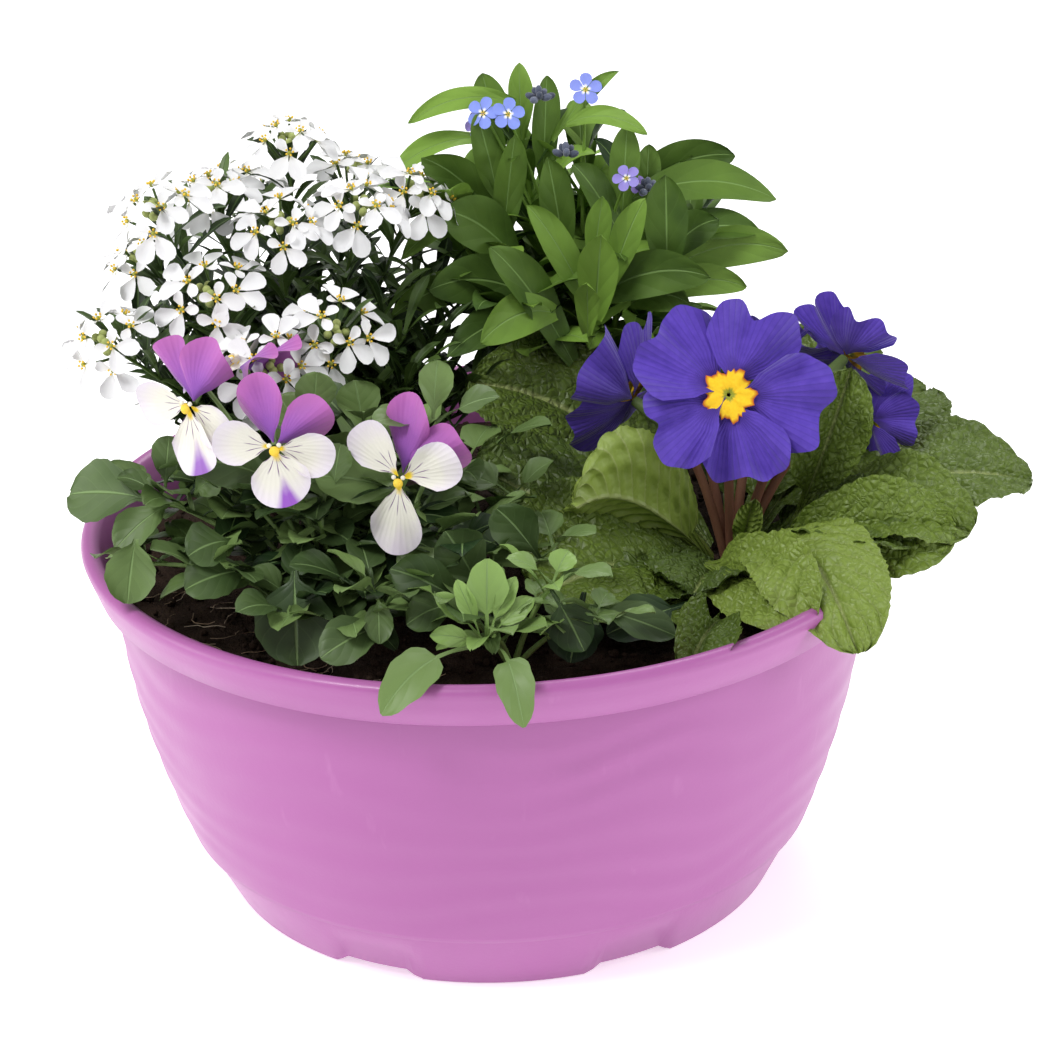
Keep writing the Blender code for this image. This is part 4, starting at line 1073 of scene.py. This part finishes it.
forget = dict(
    root=Vector((32, 56, 106)),
    # a flower's middle, the way it faces, its reach and its tone
    flowers=[
        ((2, 50, 236), (-0.3, -0.8, 0.5), 5.4, 0.1),
        ((10, 48, 236), (0.15, -0.85, 0.5), 5.4, 0.1),
        ((0, 54, 231), (-0.5, -0.7, 0.3), 4.6, 0.9),
        ((35, 56, 241), (0.1, -0.85, 0.5), 5.4, 0.2),
        ((47, 40, 216), (-0.2, -0.7, 0.6), 4.6, 0.8),
        ((51, 44, 212), (0.4, -0.6, 0.5), 3.6, 1.0),
    ],
    # a bud cluster's place and the number of its buds
    budSpots=[
        ((20, 56, 238), 9), ((54, 44, 210), 8), ((28, 46, 222), 6),
    ],
    blues=((0.2, 0.3, 0.82), (0.34, 0.2, 0.62)),
    paleBlue=(0.36, 0.44, 0.9),
    flowerRing=(0.86, 0.88, 0.92),
    flowerEye=(0.85, 0.62, 0.12),
    budColours=((0.035, 0.045, 0.075), (0.13, 0.15, 0.22)),
    # a stem's end and its arch
    stems=[
        ((14, 62, 218), 8), ((34, 66, 220), 4), ((-10, 50, 200), 12), ((52, 56, 202), 6),
        ((-6, 74, 186), 12), ((70, 70, 190), 12), ((66, 92, 172), 14), ((22, 92, 190), 10),
        ((6, 34, 172), 14), ((38, 40, 186), 8),
    ],
    stemLeaves=26,
    habit=dict(thick=3.0, start=0.24, length=34, width=11.5, outline=oblongOutline, pitch=16, rows=16,
               across=6, tones=(0.0, 1.15)),
    # large leaves: the foot, the tip, the width and how light the leaf is
    leaves=[
        ((14, 64, 226), (14, 66, 248), 10, 0.9), ((6, 64, 222), (2, 70, 244), 14, 0.6),
        ((21, 62, 214), (23, 68, 243), 12, 0.55), ((27, 60, 226), (46, 58, 247), 6, 0.85),
        ((8, 58, 236), (-22, 50, 235), 9, 0.95), ((32, 54, 230), (54, 42, 231), 8, 0.85),
        ((0, 56, 224), (-30, 46, 218), 10, 0.95), ((4, 52, 200), (-18, 44, 225), 17, 0.55),
        ((46, 46, 206), (48, 50, 231), 12, 0.65), ((54, 50, 206), (55, 54, 223), 10, 0.6),
        ((50, 58, 204), (83, 60, 218), 17, 0.45), ((54, 48, 206), (96, 54, 205), 16, 0.6),
        ((60, 44, 191), (90, 46, 196), 18, 0.5), ((64, 40, 185), (99, 44, 190), 16, 0.75),
        ((58, 36, 177), (85, 38, 180), 13, 0.8), ((40, 30, 180), (72, 16, 192), 18, 0.55),
        ((36, 24, 178), (38, 16, 206), 16, 0.95), ((32, 30, 180), (15, 22, 215), 13, 0.85),
        ((25, 28, 164), (3, 18, 203), 18, 0.5), ((0, 48, 202), (-26, 36, 194), 14, 0.7),
        ((12, 38, 178), (-17, 26, 187), 20, 0.45), ((0, 38, 180), (-30, 26, 178), 14, 0.6),
        ((20, 24, 176), (-1, 8, 175), 17, 0.8), ((59, 28, 192), (59, 30, 220), 17, 0.5),
        ((33, 16, 175), (33, 8, 193), 10, 1.0), ((36, 28, 194), (39, 26, 215), 10, 0.8),
        ((8, 44, 202), (12, 42, 231), 13, 0.6), ((5, 50, 212), (0, 50, 236), 16, 0.6),
        ((42, 26, 188), (52, 20, 216), 12, 0.8), ((8, 42, 192), (-12, 34, 210), 21, 0.5),
        ((61, 40, 190), (76, 34, 204), 15, 0.45), ((44, 44, 196), (30, 40, 222), 15, 0.5),
        ((50, 34, 176), (66, 22, 180), 14, 0.6), ((26, 40, 196), (22, 34, 226), 14, 0.55),
        ((16, 34, 170), (-12, 16, 168), 16, 0.45),
    ],
    look=dict(dark=(0.012, 0.04, 0.005), light=(0.205, 0.355, 0.052), young=(0.28, 0.43, 0.08),
              rib=(0.22, 0.36, 0.1), veins=4, slant=3.0, veinGain=0.06, youngVeins=0.06, roughness=0.55,
              specular=0.25),
)


def forgetPetal(u):
    return 1 - 0.36 * abs(u) ** 2.6


def forgetPetalMaterial():
    material, tree, shader = newMaterial("forgetPetal", 0.6, 0.25, sheen=0.15)
    across, outward = uvPlace(tree)
    blue = blendColour(toneOf(tree), *forget["blues"])
    blue = blendColour(times(noiseOf(tree, 500, 3), 0.4), blue, forget["paleBlue"])
    blue = blendColour(rangeOf(outward, 0.36, 0.22), blue, forget["flowerRing"])
    colour = blendColour(rangeOf(outward, 0.2, 0.12), blue, forget["flowerEye"])
    paint(shader, colour, noiseOf(tree, 900, 3), 0.2, 0.0003)
    return material


def buildForgetGreen():
    draw = random.Random(23)
    root, flowers = forget["root"], forget["flowers"]
    bm = newMesh()
    shape = dict(cup=0.24, wave=0.8, waves=1.2)
    shown = [(Vector(place), 8) for place, *_ in flowers + forget["budSpots"]]
    for end, arch in forget["stems"]:
        addLeafyStem(bm, root, Vector(end), up * arch, draw, forget["stemLeaves"], forget["habit"],
                     shown, curl=6, **shape)
    for foot, tip, width, light in forget["leaves"]:
        base, end = Vector(foot), Vector(tip)
        level = Vector((end.x - base.x, end.y - base.y, 0)).length
        base -= (end - base) * 0.15
        bow = up * (2 + level * 0.22)  # a leaf that lies flatter arches more
        addShownLeaf(bm, base, end, bow, width * 0.88, oblongOutline, 20, 8, light * 1.3 - 0.3,
                     roll=draw.uniform(-0.5, 0.5), phase=draw.uniform(0, 6), curl=level * 0.05, **shape)
    for place, facing, size, tone in flowers:
        back = Vector(place) - Vector(facing).normalized() * 1.2
        addStem(bm, root + up * 60, back, up * 4, 1.8, 0.5, 10, 6, 0.7)
    material = leafMaterial("forgetLeaf", forget["look"])
    finishPiece("forgetFoliage", bm, material, "leaf_green", "forget_leaves")
    return draw


def buildForgetFlowers(draw):
    petals = forgetPetalMaterial()
    flowers, budSpots = forget["flowers"], forget["budSpots"]
    for index, group in enumerate((flowers[:3], flowers[3:4], flowers[4:]), 1):
        bm = newMesh()
        for place, facing, size, tone in group:
            normal = Vector(facing).normalized()
            for k in range(5):
                addPetal(bm, Vector(place), normal, tau * k / 5 + tone, 0.6, size, forgetPetal, 6, 8, tone,
                         start=0.03, cup=0.08, droop=0.05)
        finishPiece(f"forgetFlowers{index}", bm, petals, "blue_petal", f"forget_cluster_{index}")
    buds, tree, shader = newMaterial("forgetBud", 0.8, 0.2, sheen=0.4)
    colour = blendColour(toneOf(tree), *forget["budColours"])
    paint(shader, colour, noiseOf(tree, 1200, 3), 0.8, 0.0006)
    for index, spots in enumerate((budSpots[:1], budSpots[1:]), 1):
        bm = newMesh()
        for place, count in spots:
            for k in range(count):
                turn = goldenAngle * k
                radius = 1.3 * sqrt(k)
                lean = Vector((cos(turn) * radius, sin(turn) * radius, 3.0 - radius * 0.6))
                addBall(bm, Vector(place) + lean, 1.2, lean.normalized(), 1.7, draw.random(), 2)
        finishPiece(f"forgetBuds{index}", bm, buds, "dark_bud", f"forget_buds_{index}")


# the studio

studio = dict(
    floorSize=6.0,
    floorWhites=((0.93, 0.93, 0.93), (0.95, 0.95, 0.95)),
    floorGlow=0.5,
    airGlow=0.48,
    # a light's name, its place and its size in metres, and its power in watts
    lights=[
        ("keyLight", (-0.8, -0.7, 1.7), 0.6, 19),
        ("rightLight", (1.5, -0.3, 0.7), 0.8, 9),
        ("leftLight", (-1.5, -0.1, 0.7), 0.8, 7),
        ("backLight", (0.3, 1.2, 1.4), 0.8, 9),
    ],
    lightAim=Vector((0, 0, 0.13)),
)


def buildStudio():
    floor = bmesh.new()
    bmesh.ops.create_grid(floor, x_segments=2, y_segments=2, size=studio["floorSize"])
    mesh = bpy.data.meshes.new("studioFloor")
    floor.to_mesh(mesh)
    floor.free()
    paper, tree, shader = newMaterial("studioPaper", 0.9, 0.1)
    feed(shader.inputs["Base Color"], blendColour(noiseOf(tree, 3, 2), *studio["floorWhites"]))
    shader.inputs["Emission Color"].default_value = (1, 1, 1, 1)
    shader.inputs["Emission Strength"].default_value = studio["floorGlow"]
    mesh.materials.append(paper)
    addObject("studioFloor", mesh)
    world = bpy.data.worlds.new("studioAir")
    world.use_nodes = True
    air = world.node_tree.nodes["Background"]
    air.inputs["Color"].default_value = (1, 1, 1, 1)
    air.inputs["Strength"].default_value = studio["airGlow"]
    bpy.context.scene.world = world
    bpy.context.scene.view_settings.view_transform = "Standard"
    for name, place, size, power in studio["lights"]:
        light = bpy.data.lights.new(name, "AREA")
        light.size = size
        light.energy = power
        lamp = addObject(name, light)
        lamp.location = place
        aim = (studio["lightAim"] - Vector(place)).normalized()
        lamp.rotation_euler = aim.to_track_quat("-Z", "Y").to_euler()


# the camera stands where the photograph was taken from, by a fit to the bowl's circles
cameraView = dict(
    elevation=radians(23.71),
    roll=radians(1.87),
    distance=1.0,
    target=Vector((0.0111, 0, 0.1142)),
    lens=107.2,
)


def buildCamera():
    elevation, roll = cameraView["elevation"], cameraView["roll"]
    forward = Vector((0, cos(elevation), -sin(elevation)))
    right = Vector((1, 0, 0))
    above = Vector((0, sin(elevation), cos(elevation)))
    rolledRight = right * cos(roll) - above * sin(roll)
    rolledUp = above * cos(roll) + right * sin(roll)
    camera = bpy.data.cameras.new("camera")
    camera.lens = cameraView["lens"]
    camera.sensor_width = 36
    camera.clip_start = 0.05
    rig = addObject("camera", camera)
    turned = Matrix((rolledRight, rolledUp, -forward)).transposed()
    place = cameraView["target"] - forward * cameraView["distance"]
    rig.matrix_world = Matrix.Translation(place) @ turned.to_4x4()
    bpy.context.scene.camera = rig


buildCamera()
buildStudio()
print("studio ready")
buildBowl()
buildSoil()
buildFibres()
print("bowl and soil ready")
buildPrimroseBlooms()
buildPrimroseGreen()
print("primrose ready")
buildVioletBlooms()
buildVioletGreen()
print("violet ready")
buildCandytuft()
print("candytuft ready")
buildForgetFlowers(buildForgetGreen())
print("forget-me-not ready")

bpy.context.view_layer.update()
for pattern in patterns.values():
    if isinstance(pattern, bpy.types.Mesh):  # beside the meshes it keeps the balls' points
        bpy.data.meshes.remove(pattern)
